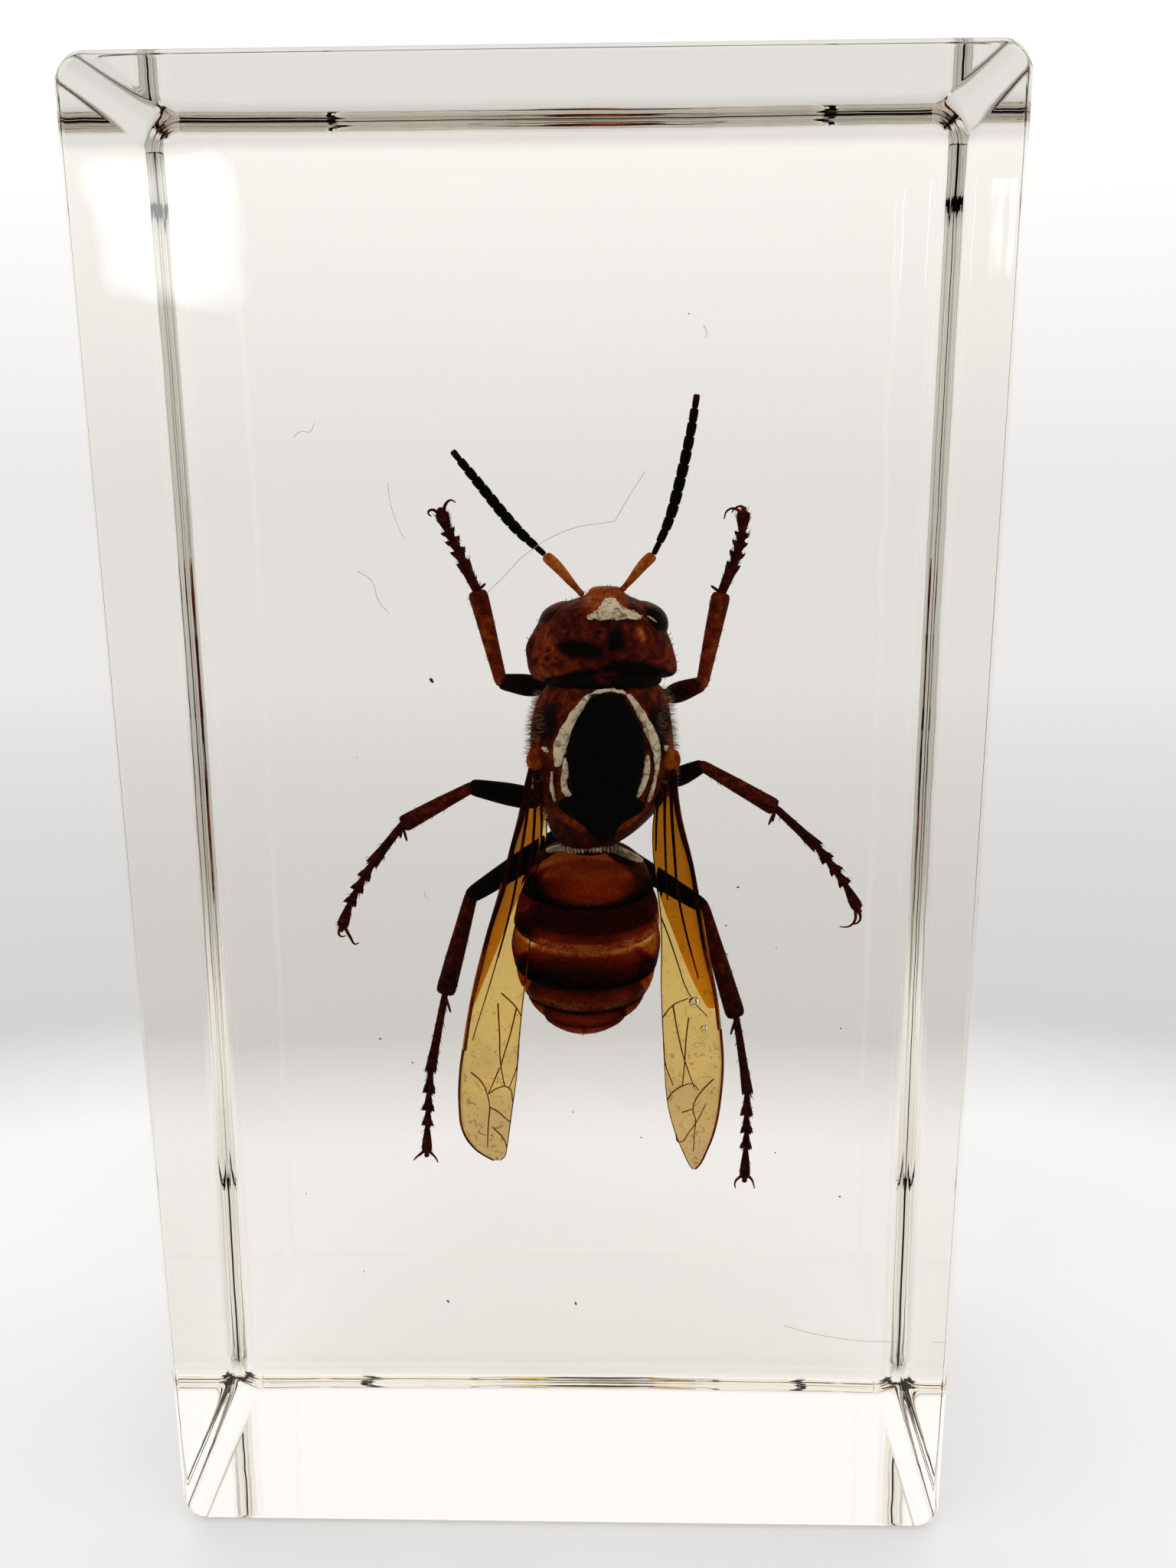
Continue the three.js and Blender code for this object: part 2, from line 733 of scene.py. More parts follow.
@dataclass(frozen=True)
class Fibre:
    """A matt fine thing: a hair, a fibre or a speck of dust."""

    name: str
    root: Colour
    tip: Colour
    glow: float = 0.3

    def make(self) -> bpy.types.Material:
        """Builds the material."""
        graph = Graph(self.name)
        streaks = graph.noise(graph.millimetres(), 3.0, 4.0)
        colour = graph.mix(graph.band(streaks, 0.35, 0.65), self.root, self.tip)
        body = graph.add(
            "ShaderNodeBsdfPrincipled", Base_Color=colour, Roughness=0.6, Specular_IOR_Level=0.15
        )
        through = graph.add("ShaderNodeBsdfTranslucent", Color=colour)
        return graph.finish(graph.blend(self.glow, body, through))


@dataclass(frozen=True)
class ClearResin:
    """Polished cast resin with a faint straw tint that shows where the way through it is long."""

    name: str = "clear_resin"

    def make(self) -> bpy.types.Material:
        """Builds the material."""
        graph = Graph(self.name)
        place = graph.millimetres()
        ripple = graph.noise(place, 0.12, 2.0)
        scuffs = graph.noise(graph.millimetres((1.0, 1.0, 0.15)), 1.5, 4.0, 0.4)
        resin = graph.add(
            "ShaderNodeBsdfPrincipled",
            Base_Color=(1.0, 1.0, 1.0),
            Roughness=graph.band(scuffs, 0.62, 0.8, 0.0, 0.02),
            IOR=1.54,
            Transmission_Weight=1.0,
            Normal=graph.bump(ripple, 0.06, 0.6),
        )
        tint = graph.add("ShaderNodeVolumeAbsorption", Color=(0.967, 0.667, 0.10), Density=3.0)
        graph.tree.links.new(tint.outputs[0], graph.output.inputs["Volume"])
        return graph.finish(resin)


@dataclass(frozen=True)
class AirBubble:
    """A bubble of air in the resin: clear in the middle, with a dark rim."""

    name: str = "air_bubble"

    def make(self) -> bpy.types.Material:
        """Builds the material."""
        graph = Graph(self.name)
        haze = graph.band(graph.noise(graph.millimetres(), 6.0), 0.3, 0.7, 0.0, 0.06)
        return graph.finish(
            graph.add(
                "ShaderNodeBsdfGlass", Color=(0.96, 0.93, 0.86), IOR=0.65, Roughness=haze
            )
        )


# ------------------------------------------------------------------ the block


@dataclass
class ResinBlock:
    """The clear block: crisp edges in front, rounder ones behind and from front to back."""

    front_edge: float = 0.45
    back_edge: float = 1.3
    corner: float = 1.4
    flats: int = 10

    def round_edges(
        self, block: bpy.types.Object, radius: float, wanted: Callable[[Vector, Vector], bool]
    ) -> None:
        """Rounds the edges that are wanted."""
        with shaping(block):
            pick_edges(block, wanted)
            bpy.ops.mesh.bevel(offset=radius * MM, segments=self.flats, affect="EDGES")

    def build(self) -> bpy.types.Object:
        """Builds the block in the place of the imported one."""
        low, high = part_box("resin_block")
        clear_bench()
        bpy.ops.mesh.primitive_cube_add(size=1, location=(low + high) / 2, scale=high - low)
        block = bpy.context.object
        block.name = "clear_block"
        settle_transform(block)
        front, back = low.y / MM, high.y / MM
        self.round_edges(block, self.corner, lambda at, way: abs(way.y) > 0.9)
        self.round_edges(
            block, self.front_edge, lambda at, way: at.y < front + 0.01 and abs(way.y) < 0.1
        )
        self.round_edges(
            block, self.back_edge, lambda at, way: at.y > back - 0.01 and abs(way.y) < 0.1
        )
        face_outward(block)
        hold(block)
        bpy.ops.object.shade_smooth()
        apply_modifier(block, "WEIGHTED_NORMAL", mode="FACE_AREA", weight=100)
        block.data.materials.append(ClearResin().make())
        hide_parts("resin_block")
        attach(block, BODY)
        LOG.info("%s: %d faces", block.name, len(block.data.polygons))
        return block


# ------------------------------------------------------------------ sheets and smooth lines


def glide(points: Sequence[Place], count: int) -> list[Vector]:
    """Evenly spaced points on a smooth line through some points.

    Args:
        points: What the line passes through, in millimetres.
        count: How many points are wanted, both ends included.

    Returns:
        The points, in millimetres.
    """
    knots = [Vector(point) for point in points]
    knots = [2 * knots[0] - knots[1], *knots, 2 * knots[-1] - knots[-2]]
    steps = 12
    fine = []
    for a, b, c, d in zip(knots, knots[1:], knots[2:], knots[3:]):
        for step in range(steps):
            t = step / steps
            fine.append(
                0.5
                * (
                    2 * b
                    + (c - a) * t
                    + (2 * a - 5 * b + 4 * c - d) * t * t
                    + (3 * b - a - 3 * c + d) * t**3
                )
            )
    fine.append(knots[-2])
    lengths = [0.0]
    for a, b in zip(fine, fine[1:]):
        lengths.append(lengths[-1] + (b - a).length)
    spaced = []
    for number in range(count):
        goal = lengths[-1] * number / (count - 1)
        place = next(k for k in range(1, len(fine)) if lengths[k] >= goal - 1e-9)
        share = (goal - lengths[place - 1]) / max(1e-9, lengths[place] - lengths[place - 1])
        spaced.append(fine[place - 1].lerp(fine[place], share))
    return spaced


def draw_sheet(name: str, rows: Sequence[Sequence[Place]]) -> bpy.types.Object:
    """Draws a sheet out row by row: each row is extruded and its corners moved to their places.

    Args:
        name: The sheet's name.
        rows: The rows, each with as many places as the others, in millimetres.

    Returns:
        The sheet, with its front towards the viewer.
    """
    clear_bench()
    bpy.ops.mesh.primitive_plane_add(size=MM, location=Vector(rows[0][0]) * MM)
    sheet = bpy.context.object
    sheet.name = name
    settle_transform(sheet)
    bpy.ops.object.mode_set(mode="EDIT")
    bpy.ops.mesh.select_mode(type="VERT")
    bpy.ops.mesh.select_all(action="SELECT")
    bpy.ops.mesh.merge(type="CENTER")
    for last, place in zip(rows[0], rows[0][1:]):
        step = (Vector(place) - Vector(last)) * MM
        bpy.ops.mesh.extrude_region_move(TRANSFORM_OT_translate={"value": step})
    for last_row, row in zip(rows, rows[1:]):
        bpy.ops.mesh.select_all(action="DESELECT")
        mesh = bmesh.from_edit_mesh(sheet.data)
        for place in last_row:
            nearest_vertex(mesh, Vector(place)).select_set(True)
        mesh.select_flush_mode()
        bmesh.update_edit_mesh(sheet.data)
        step = Vector(row[0]) - Vector(last_row[0])
        bpy.ops.mesh.extrude_region_move(TRANSFORM_OT_translate={"value": step * MM})
        for last, place in zip(last_row, row):
            bpy.ops.mesh.select_all(action="DESELECT")
            mesh = bmesh.from_edit_mesh(sheet.data)
            nearest_vertex(mesh, Vector(last) + step).select_set(True)
            mesh.select_flush_mode()
            bmesh.update_edit_mesh(sheet.data)
            move = (Vector(place) - Vector(last) - step) * MM
            bpy.ops.transform.translate(value=move)
    bpy.ops.object.mode_set(mode="OBJECT")
    with shaping(sheet):
        bpy.ops.mesh.select_all(action="SELECT")
        bpy.ops.mesh.normals_make_consistent(inside=False)
    if sum(face.normal.y * face.area for face in sheet.data.polygons) > 0:
        with shaping(sheet):
            bpy.ops.mesh.select_all(action="SELECT")
            bpy.ops.mesh.flip_normals()
    return sheet


def nearest_vertex(mesh: bmesh.types.BMesh, place: Vector) -> bmesh.types.BMVert:
    """The vertex that is nearest to a place in millimetres."""
    return min(mesh.verts, key=lambda vertex: (vertex.co / MM - place).length_squared)


def lay_on(
    sheet: bpy.types.Object,
    host: bpy.types.Object,
    lift: float,
    thick: float,
    rounds: int = 2,
    crumple: float = 0.0,
) -> bpy.types.Object:
    """Lays a sheet on the viewer's side of a host and gives it a thickness.

    Args:
        sheet: The sheet, which hangs in front of the host.
        host: What it is laid on.
        lift: How far its back stands off the host.
        thick: Its thickness.
        rounds: How often it is subdivided before it is laid.
        crumple: How far its surface is ruffled.

    Returns:
        The sheet.
    """
    smooth(sheet, rounds)
    ruffle(sheet, crumple, 1)
    apply_modifier(
        sheet,
        "SHRINKWRAP",
        target=host,
        wrap_method="PROJECT",
        wrap_mode="ABOVE_SURFACE",
        use_project_y=True,
        use_positive_direction=True,
        use_negative_direction=False,
        offset=lift * MM,
    )
    ruffle(sheet, crumple, 2)
    apply_modifier(sheet, "SOLIDIFY", thickness=thick * MM, offset=1.0)
    smooth(sheet, 1)
    return sheet


def between(rows: Sequence[tuple[float, float, float]], z: float) -> tuple[float, float]:
    """Reads two values at a height from rows of a height and two values, the highest row first."""
    held = min(rows[0][0], max(rows[-1][0], z))
    number = next(k for k in range(1, len(rows)) if rows[k][0] <= held)
    (z0, first0, second0), (z1, first1, second1) = rows[number - 1], rows[number]
    share = (held - z0) / (z1 - z0)
    return first0 + (first1 - first0) * share, second0 + (second1 - second0) * share


def ruffle(piece: bpy.types.Object, amount: float, seed: int) -> None:
    """Shifts each vertex of a piece a little, by chance."""
    if amount:
        with shaping(piece):
            bpy.ops.mesh.select_all(action="SELECT")
            bpy.ops.transform.vertex_random(offset=amount * MM, uniform=1.0, seed=seed)


def band(points: Sequence[tuple[float, float, float]]) -> list[list[Place]]:
    """The rows of a narrow band along a line.

    Args:
        points: The x and z of each point on the line, with half the band's width there.

    Returns:
        Rows of two places each.
    """
    rows = []
    for number, (x, z, half) in enumerate(points):
        before = points[max(0, number - 1)]
        after = points[min(len(points) - 1, number + 1)]
        along = Vector((after[0] - before[0], after[1] - before[1])).normalized()
        rows.append(
            [
                (x - along.y * half, IN_FRONT, z + along.x * half),
                (x + along.y * half, IN_FRONT, z - along.x * half),
            ]
        )
    return rows


def ladder(rows: Sequence[Sequence[float]], columns: int = 7) -> list[list[Place]]:
    """The rows of a shield: each has a height, a left end and a right end."""
    return [
        [(left + (right - left) * k / (columns - 1), IN_FRONT, z) for k in range(columns)]
        for z, left, right in rows
    ]


# ------------------------------------------------------------------ the head


@dataclass
class Head:
    """The head: wide, short and deep, with an eye at each front corner and jaws below."""

    eye_x: float = 2.12
    eye_y: float = 0.7
    eye_z: float = 7.05
    rings: tuple[Ring, ...] = (
        Ring(4.12, 1.3, 1.5, y=0.3), Ring(4.18, 2.6, 2.1, y=0.3), Ring(4.32, 3.4, 2.45, y=0.3),
        Ring(4.7, 3.86, 2.7, x=-0.03, y=0.3), Ring(5.2, 3.94, 2.9, x=-0.12, y=0.35),
        Ring(5.8, 3.85, 3.05, x=-0.2, y=0.4), Ring(6.4, 3.62, 3.15, x=-0.2, y=0.5),
        Ring(6.9, 3.35, 3.2, x=-0.18, y=0.6), Ring(7.5, 3.0, 3.15, x=-0.12, y=0.7),
        Ring(7.95, 2.45, 3.0, x=-0.05, y=0.8), Ring(8.22, 1.6, 2.5, x=0.1, y=0.9),
        Ring(8.42, 1.02, 1.7, x=0.14, y=0.95), Ring(8.74, 0.84, 1.25, x=0.14, y=1.0),
        Ring(8.86, 0.66, 0.9, x=0.14, y=1.0),
    )

    def capsule(self) -> bpy.types.Object:
        """The head's shell, hollowed behind where the neck enters and full at the temples, with painted shade
        at its rear.
        """
        head = draw_out("head_shell", self.rings, sides=16, rounds=2)
        nudge(head, (0.3, -1.2, 4.3), 2.4, (0.0, 0.3, 0.8))
        nudge(head, (-3.75, 0.0, 5.9), 0.9, (-0.12, 0.0, 0.0))
        nudge(head, (-3.3, 0.0, 4.5), 1.2, (-0.1, 0.0, -0.25))
        nudge(head, (3.5, 0.0, 4.6), 1.0, (0.1, 0.0, -0.15))
        nudge(head, (0.0, -2.4, 7.0), 1.2, (0.0, -0.3, 0.1))
        nudge(head, (-1.9, -2.6, 6.3), 0.8, (0.0, -0.12, 0.0))
        nudge(head, (1.9, -2.6, 6.3), 0.8, (0.0, -0.12, 0.0))
        grade(
            head,
            lay_patches(
                0.42,
                (
                    Patch(0.1, 8.4, 1.2, 0.85, 0.66, soft=0.25),
                    Patch(-2.2, 8.1, 1.2, 0.22, 0.48, 12),
                    Patch(2.1, 8.1, 1.0, 0.22, 0.42, -14),
                    Patch(-2.95, 5.5, 0.75, 1.3, 0.56),
                    Patch(-2.76, 6.1, 0.3, 0.45, 0.66),
                    Patch(-2.9, 4.55, 1.2, 0.34, 0.6, 8),
                    Patch(-3.85, 5.9, 0.3, 0.9, 0.38),
                    Patch(-1.16, 5.95, 1.1, 0.36, 0.02, -8),
                    Patch(0.66, 6.35, 0.3, 0.7, 0.08),
                    Patch(1.91, 6.65, 0.18, 0.42, 0.8, 25, 0.3),
                    Patch(2.75, 5.95, 0.6, 0.4, 0.46),
                    Patch(3.35, 5.15, 0.45, 0.75, 0.54),
                    Patch(-1.7, 5.1, 1.1, 0.25, 0.46, 14),
                    Patch(0.9, 5.6, 0.8, 0.3, 0.4, -10),
                    # Painted shade: black at the head's rear where it meets the collar, red-brown in the
                    # middle.
                    Patch(-1.5, 4.2, 1.6, 0.5, 0.0, 12, 0.3),
                    Patch(0.15, 4.5, 0.6, 0.5, 0.2, 0, 0.3),
                    Patch(2.0, 4.65, 1.7, 0.5, 0.0, -16, 0.3),
                    Patch(-2.83, 5.82, 0.12, 0.12, 0.26),
                    Patch(-2.9, 5.42, 0.13, 0.12, 0.24),
                    Patch(-2.36, 5.1, 0.15, 0.13, 0.22),
                    Patch(-3.55, 5.15, 0.12, 0.2, 0.26),
                    Patch(-3.1, 5.1, 0.08, 0.08, 0.3),
                ),
            ),
        )
        return head

    def eye(self, side: Side) -> bpy.types.Object:
        """One compound eye: a tall kidney with a notch towards the antenna."""
        across = side.value
        eye = draw_out(
            f"{side.label}_compound_eye",
            (
                Ring(-1.1, 0.5, 0.8), Ring(-0.85, 1.0, 1.5), Ring(-0.3, 1.3, 2.0), Ring(0.3, 1.28, 2.0),
                Ring(0.78, 0.95, 1.6), Ring(1.04, 0.42, 0.8),
            ),
            sides=14,
            rounds=2,
        )
        eye.location = Vector((across * self.eye_x, self.eye_y, self.eye_z)) * MM
        eye.rotation_euler = (0.0, math.radians(across * 24), 0.0)
        settle_transform(eye)
        nudge(eye, (across * 1.1, 0.7, 7.7), 0.8, (across * 0.45, 0.0, -0.1))
        patches = (
            (
                Patch(-1.7, 7.25, 0.85, 0.45, 0.03),
                Patch(-2.75, 7.3, 0.5, 0.4, 0.28),
                Patch(-2.0, 8.1, 1.2, 0.28, 0.46, 14),
            )
            if side is Side.LEFT
            else (Patch(2.6, 7.3, 0.8, 0.6, 0.02), Patch(1.9, 8.05, 0.9, 0.2, 0.42, -12))
        )
        grade(eye, lay_patches(0.16, patches))
        return eye

    def simple_eyes(self) -> bpy.types.Object:
        """The three simple eyes on the crown: small glassy domes."""
        domes = []
        for x, y, z in ((0.25, -2.85, 7.3), (-0.2, -2.95, 6.85), (0.7, -2.95, 6.85)):
            dome = draw_out(
                "simple_eye",
                (Ring(-0.12, 0.16, 0.16), Ring(0.03, 0.15, 0.15), Ring(0.11, 0.07, 0.07)),
                sides=8,
                rounds=1,
            )
            domes.append(aim(dome, (x, y, z), (x, y - 1.0, z + 0.1)))
        eyes = join("simple_eyes", domes)
        grade(eyes, lambda place: 0.12)
        return eyes

    def face(self) -> list[bpy.types.Object]:
        """The face plate and the lip below it."""
        plate = draw_out(
            "face_plate",
            (
                Ring(0.0, 1.2, 0.5), Ring(0.45, 1.55, 0.72), Ring(1.2, 1.45, 0.8),
                Ring(1.9, 1.05, 0.62), Ring(2.2, 0.6, 0.3),
            ),
            sides=14,
            rounds=2,
        )
        aim(plate, (0.0, 1.4, 8.05), (0.0, 3.9, 7.2))
        lip = draw_out(
            "upper_lip",
            (Ring(0.0, 0.6, 0.22), Ring(0.35, 0.65, 0.24), Ring(0.7, 0.4, 0.15)),
            sides=10,
            rounds=1,
        )
        aim(lip, (0.0, 3.55, 7.35), (0.0, 4.3, 6.7))
        grade(plate, lambda place: 0.62)
        grade(lip, lambda place: 0.45)
        return [plate, lip]

    def jaw(self, side: Side) -> bpy.types.Object:
        """One jaw: a stout curved blade with three teeth at its tip."""
        across = side.value
        blade = draw_out(
            f"{side.label}_jaw",
            (
                Ring(0.0, 0.62, 0.5), Ring(0.5, 0.68, 0.5, x=-across * 0.05),
                Ring(1.1, 0.55, 0.36, x=-across * 0.16), Ring(1.6, 0.46, 0.26, x=-across * 0.32),
                Ring(1.95, 0.3, 0.16, x=-across * 0.5),
            ),
            sides=12,
            rounds=1,
        )
        teeth = []
        for step in range(3):
            tooth = draw_out(
                "tooth",
                (Ring(0.0, 0.15, 0.12), Ring(0.15, 0.1, 0.08), Ring(0.3, 0.02, 0.02)),
                sides=6,
                rounds=1,
            )
            root = (-across * (0.55 + 0.12 * step), 0.0, 1.9 - 0.32 * step)
            tip = (-across * (0.95 + 0.12 * step), 0.0, 2.15 - 0.32 * step)
            teeth.append(aim(tooth, root, tip))
        jaw = join(f"{side.label}_jaw", [blade, *teeth])
        aim(jaw, (across * 1.55, 2.85, 7.1), (across * 0.95, 4.6, 6.55))
        grade(jaw, lambda place: 0.55 - 0.16 * max(0.0, place.y - 3.2))
        return jaw

    def palps(self) -> bpy.types.Object:
        """The two pairs of palps: thin jointed feelers under the jaws."""
        joints = []
        for across in (-1, 1):
            for points, count in (
                (((0.55, 3.2, 5.9), (1.0, 4.0, 5.8), (1.15, 4.4, 6.5), (0.9, 4.5, 7.1)), 7),
                (((0.25, 3.2, 5.7), (0.45, 4.0, 5.7), (0.4, 4.35, 6.3)), 5),
            ):
                path = glide([(across * x, y, z) for x, y, z in points], count)
                for foot, tip in zip(path, path[1:]):
                    length = (tip - foot).length
                    joint = draw_out(
                        "palp_joint",
                        (Ring(0.0, 0.05, 0.05), Ring(length * 0.6, 0.09, 0.09), Ring(length, 0.05, 0.05)),
                        sides=6,
                        rounds=1,
                    )
                    joints.append(aim(joint, tuple(foot), tuple(tip)))
        palps = join("palps", joints)
        grade(palps, lambda place: 0.5)
        return palps

    def air_on_face(self, head: bpy.types.Object) -> bpy.types.Object:
        """The bright film of air that lies across the face between the eyes."""
        stations = (
            (-0.72, 7.42, 7.5), (-0.56, 7.34, 7.62), (-0.4, 7.44, 7.66), (-0.22, 7.4, 7.78),
            (-0.04, 7.3, 8.08), (0.14, 7.38, 8.24), (0.34, 7.42, 8.32), (0.57, 7.34, 8.24),
            (0.8, 7.3, 8.04), (1.0, 7.4, 7.88), (1.24, 7.36, 7.76), (1.54, 7.3, 7.64),
            (1.76, 7.36, 7.54), (1.88, 7.4, 7.48),
        )
        rows = [
            [(x, IN_FRONT, z) for z in (low, (low + high) / 2, high)] for x, low, high in stations
        ]
        film = lay_on(draw_sheet("air_on_face", rows), head, 0.14, 0.05, crumple=0.05)
        line = ((2.05, 7.42, 0.03), (2.3, 7.28, 0.04), (2.55, 7.06, 0.02))
        thread = lay_on(draw_sheet("air_by_eye", band(line)), head, 0.2, 0.04)
        return join("air_on_face", [film, thread])

    def build(
        self,
        shell: bpy.types.Material,
        eye: bpy.types.Material,
        air: bpy.types.Material,
        hair: bpy.types.Material,
    ) -> None:
        """Builds the head, dresses it and seals it in."""
        head = self.capsule()
        film = self.air_on_face(head)
        down = sow_hairs("head_down", head, 260, 0.22, 11, lean=(0.0, 0.0, 0.3))
        eyes = [self.eye(side) for side in Side]
        jaws = [self.jaw(side) for side in Side]
        for piece in (head, *self.face(), *jaws, self.palps()):
            seal(piece, shell)
        for piece in (*eyes, self.simple_eyes()):
            seal(piece, eye)
        seal(film, air)
        seal(down, hair)


@dataclass
class Antenna:
    """One antenna: an orange shaft, a short joint and a black whip of eleven segments."""

    side: Side
    base: Place
    elbow: Place
    whip: tuple[Place, ...]
    thickness: float = 0.3

    def shaft(self) -> bpy.types.Object:
        """The long first segment, on a ball at its root."""
        length = (Vector(self.elbow) - Vector(self.base)).length
        shaft = draw_out(
            f"{self.side.label}_antenna_shaft",
            (
                Ring(-0.12, 0.1, 0.1), Ring(0.0, 0.2, 0.2), Ring(0.14, 0.13, 0.13),
                Ring(length * 0.3, 0.22, 0.22),
                Ring(length * 0.65, 0.29, 0.28, x=-self.side.value * 0.07),
                Ring(length * 0.93, 0.33, 0.31), Ring(length, 0.2, 0.2),
            ),
            sides=12,
            rounds=2,
        )
        aim(shaft, self.base, self.elbow)
        foot = Vector(self.base)
        grade(shaft, lambda place: 0.68 + 0.1 * min(1.0, (place - foot).length / 1.2))
        return shaft

    def flagellum(self) -> bpy.types.Object:
        """The short joint and the whip, each segment a barrel copied from one pattern."""
        barrel = draw_out(
            "whip_barrel",
            (
                Ring(0.0, 0.76, 0.76), Ring(0.06, 0.92, 0.92), Ring(0.5, 1.0, 1.0),
                Ring(0.92, 0.99, 0.99), Ring(1.0, 0.8, 0.8),
            ),
            sides=10,
            rounds=1,
        )
        path = glide((self.elbow, *self.whip), 13)
        shares = (0.55, 0.78, 0.92, 1.0, 1.04, 1.02, 1.0, 0.96, 0.92, 0.86, 0.78, 0.6)
        joints = []
        for foot, tip, share in zip(path, path[1:], shares):
            joint = copy_of(barrel, "whip_joint")
            half = self.thickness * share
            joint.scale = (half, half, (tip - foot).length * 1.02)
            settle_transform(joint)
            joints.append(aim(joint, tuple(foot), tuple(tip)))
        discard(barrel)
        whip = join(f"{self.side.label}_antenna_whip", joints)
        end, start = Vector(self.whip[-1]), Vector(self.elbow)
        grade(
            whip,
            lambda place: 0.02
            + 0.3 * max(0.0, 1.0 - (place - end).length / 1.6)
            + 0.25 * max(0.0, 1.0 - (place - start).length / 0.8),
        )
        return whip

    def build(self, shell: bpy.types.Material, hair: bpy.types.Material) -> None:
        """Builds the antenna, dresses it and seals it in."""
        shaft, whip = self.shaft(), self.flagellum()
        down = sow_hairs(f"{self.side.label}_antenna_down", whip, 160, 0.09, 21, thick=0.012)
        seal(shaft, shell)
        seal(whip, shell)
        seal(down, hair)


# ------------------------------------------------------------------ the thorax


@dataclass
class Thorax:
    """The thorax: a deep barrel that carries the legs and wings, with dark plates on its back."""

    rings: tuple[Ring, ...] = (
        Ring(4.75, 1.3, 1.3, y=0.2), Ring(4.4, 2.3, 2.1, y=0.1), Ring(3.8, 3.15, 2.75),
        Ring(2.8, 3.6, 3.2, x=-0.1), Ring(1.2, 3.82, 3.45, x=-0.12), Ring(-0.5, 3.78, 3.4, x=-0.05),
        Ring(-2.0, 3.5, 3.05, x=-0.05), Ring(-3.0, 2.85, 2.6, x=-0.25), Ring(-3.9, 2.3, 2.1, x=-0.6),
        Ring(-4.55, 1.5, 1.5, x=-0.85), Ring(-4.85, 0.9, 1.0, x=-0.9),
    )

    def barrel(self) -> bpy.types.Object:
        """The thorax's shell, with the furrows between its side plates."""
        barrel = draw_out("thorax_shell", self.rings, sides=18, rounds=2)
        for side in (-1, 1):
            nudge(barrel, (side * 3.5, -1.6, 2.1), 0.9, (side * -0.22, 0.1, 0.0))
            nudge(barrel, (side * 3.6, -1.4, 0.3), 0.9, (side * 0.3, -0.1, 0.0))
            nudge(barrel, (side * 3.6, -0.8, -0.9), 0.8, (side * -0.2, 0.1, 0.0))
            nudge(barrel, (side * 3.4, 0.8, -1.6), 1.2, (side * 0.2, 0.1, 0.0))
            nudge(barrel, (side * 3.3, 1.6, 2.6), 1.2, (side * 0.2, 0.2, 0.0))
        grade(
            barrel,
            lay_patches(
                0.46,
                (
                    Patch(-3.75, 3.1, 0.7, 0.9, 0.5),
                    Patch(3.35, 3.15, 0.4, 0.3, 0.62),
                    Patch(2.95, 2.35, 0.6, 0.7, 0.2),
                    Patch(-2.95, 2.0, 0.55, 1.1, 0.12, -18),
                    Patch(2.9, 1.6, 0.4, 1.2, 0.1, 14),
                    Patch(-3.3, 0.6, 0.5, 0.7, 0.48),
                    Patch(-3.1, -0.4, 0.35, 0.4, 0.2),
                    Patch(3.45, 0.9, 0.35, 0.6, 0.55),
                    Patch(-3.2, -1.2, 0.5, 1.1, 0.42),
                    Patch(3.2, -1.2, 0.5, 0.9, 0.5),
                    Patch(-0.8, -3.9, 2.4, 1.1, 0.36, 0, 0.3),
                    Patch(-1.6, -3.05, 0.9, 0.24, 0.6, -28, 0.3),
                    Patch(1.2, -3.1, 0.85, 0.24, 0.6, 28, 0.3),
                    Patch(-0.1, -3.3, 0.5, 0.9, 0.0, 0, 0.3),
                ),
            ),
        )
        return barrel

    def collar(self) -> bpy.types.Object:
        """The collar behind the head, black as painted shade under the head's rear, red-brown in its middle.
        """
        collar = draw_out(
            "collar",
            (
                Ring(3.8, 2.85, 2.4), Ring(4.05, 3.1, 2.75), Ring(4.5, 3.08, 2.65, y=0.05),
                Ring(4.9, 2.7, 2.25, y=0.1), Ring(5.25, 1.7, 1.4, y=0.15), Ring(5.4, 1.0, 0.9, y=0.15),
            ),
            sides=16,
            rounds=2,
        )
        # Painted shade: black all over where the collar lies under the head's rear.
        grade(collar, lay_patches(0.02, (Patch(0.15, 4.6, 0.65, 0.6, 0.3), Patch(2.0, 4.5, 0.3, 0.2, 0.14))))
        return collar

    def back_plate(self, barrel: bpy.types.Object) -> bpy.types.Object:
        """The black egg-shaped plate in the middle of the back, with a fine keel."""
        rows = (
            (3.6, -0.2, 0.7), (3.5, -0.5, 1.0), (3.2, -0.78, 1.2), (2.65, -1.15, 1.54),
            (2.0, -1.5, 1.86), (1.3, -1.7, 2.05), (0.6, -1.78, 2.06), (0.0, -1.64, 1.88),
            (-0.65, -1.62, 1.84), (-1.3, -1.5, 1.66), (-1.6, -1.4, 1.5),
        )
        plate = lay_on(draw_sheet("back_plate", ladder(rows)), barrel, 0.08, 0.22)
        nudge(plate, (0.1, -4.0, 1.0), 1.8, (0.0, -0.2, 0.0))
        grade(plate, lambda place: -0.2)
        return plate

    def rear_plate(self, barrel: bpy.types.Object) -> bpy.types.Object:
        """The black plate behind the back plate, which narrows to a wedge on the rear slope."""
        rows = (
            (-1.45, -1.7, 1.6), (-1.68, -2.1, 1.7), (-1.95, -2.3, 2.08), (-2.2, -2.1, 2.0),
            (-2.5, -1.66, 1.55), (-2.8, -1.2, 0.98), (-3.15, -0.84, 0.66), (-3.5, -0.72, 0.48),
            (-3.65, -0.5, 0.3),
        )
        plate = lay_on(draw_sheet("rear_plate", ladder(rows)), barrel, 0.1, 0.2)
        grade(plate, lay_patches(-0.15, (Patch(0.05, -2.6, 0.12, 0.8, 0.1),)))
        return plate

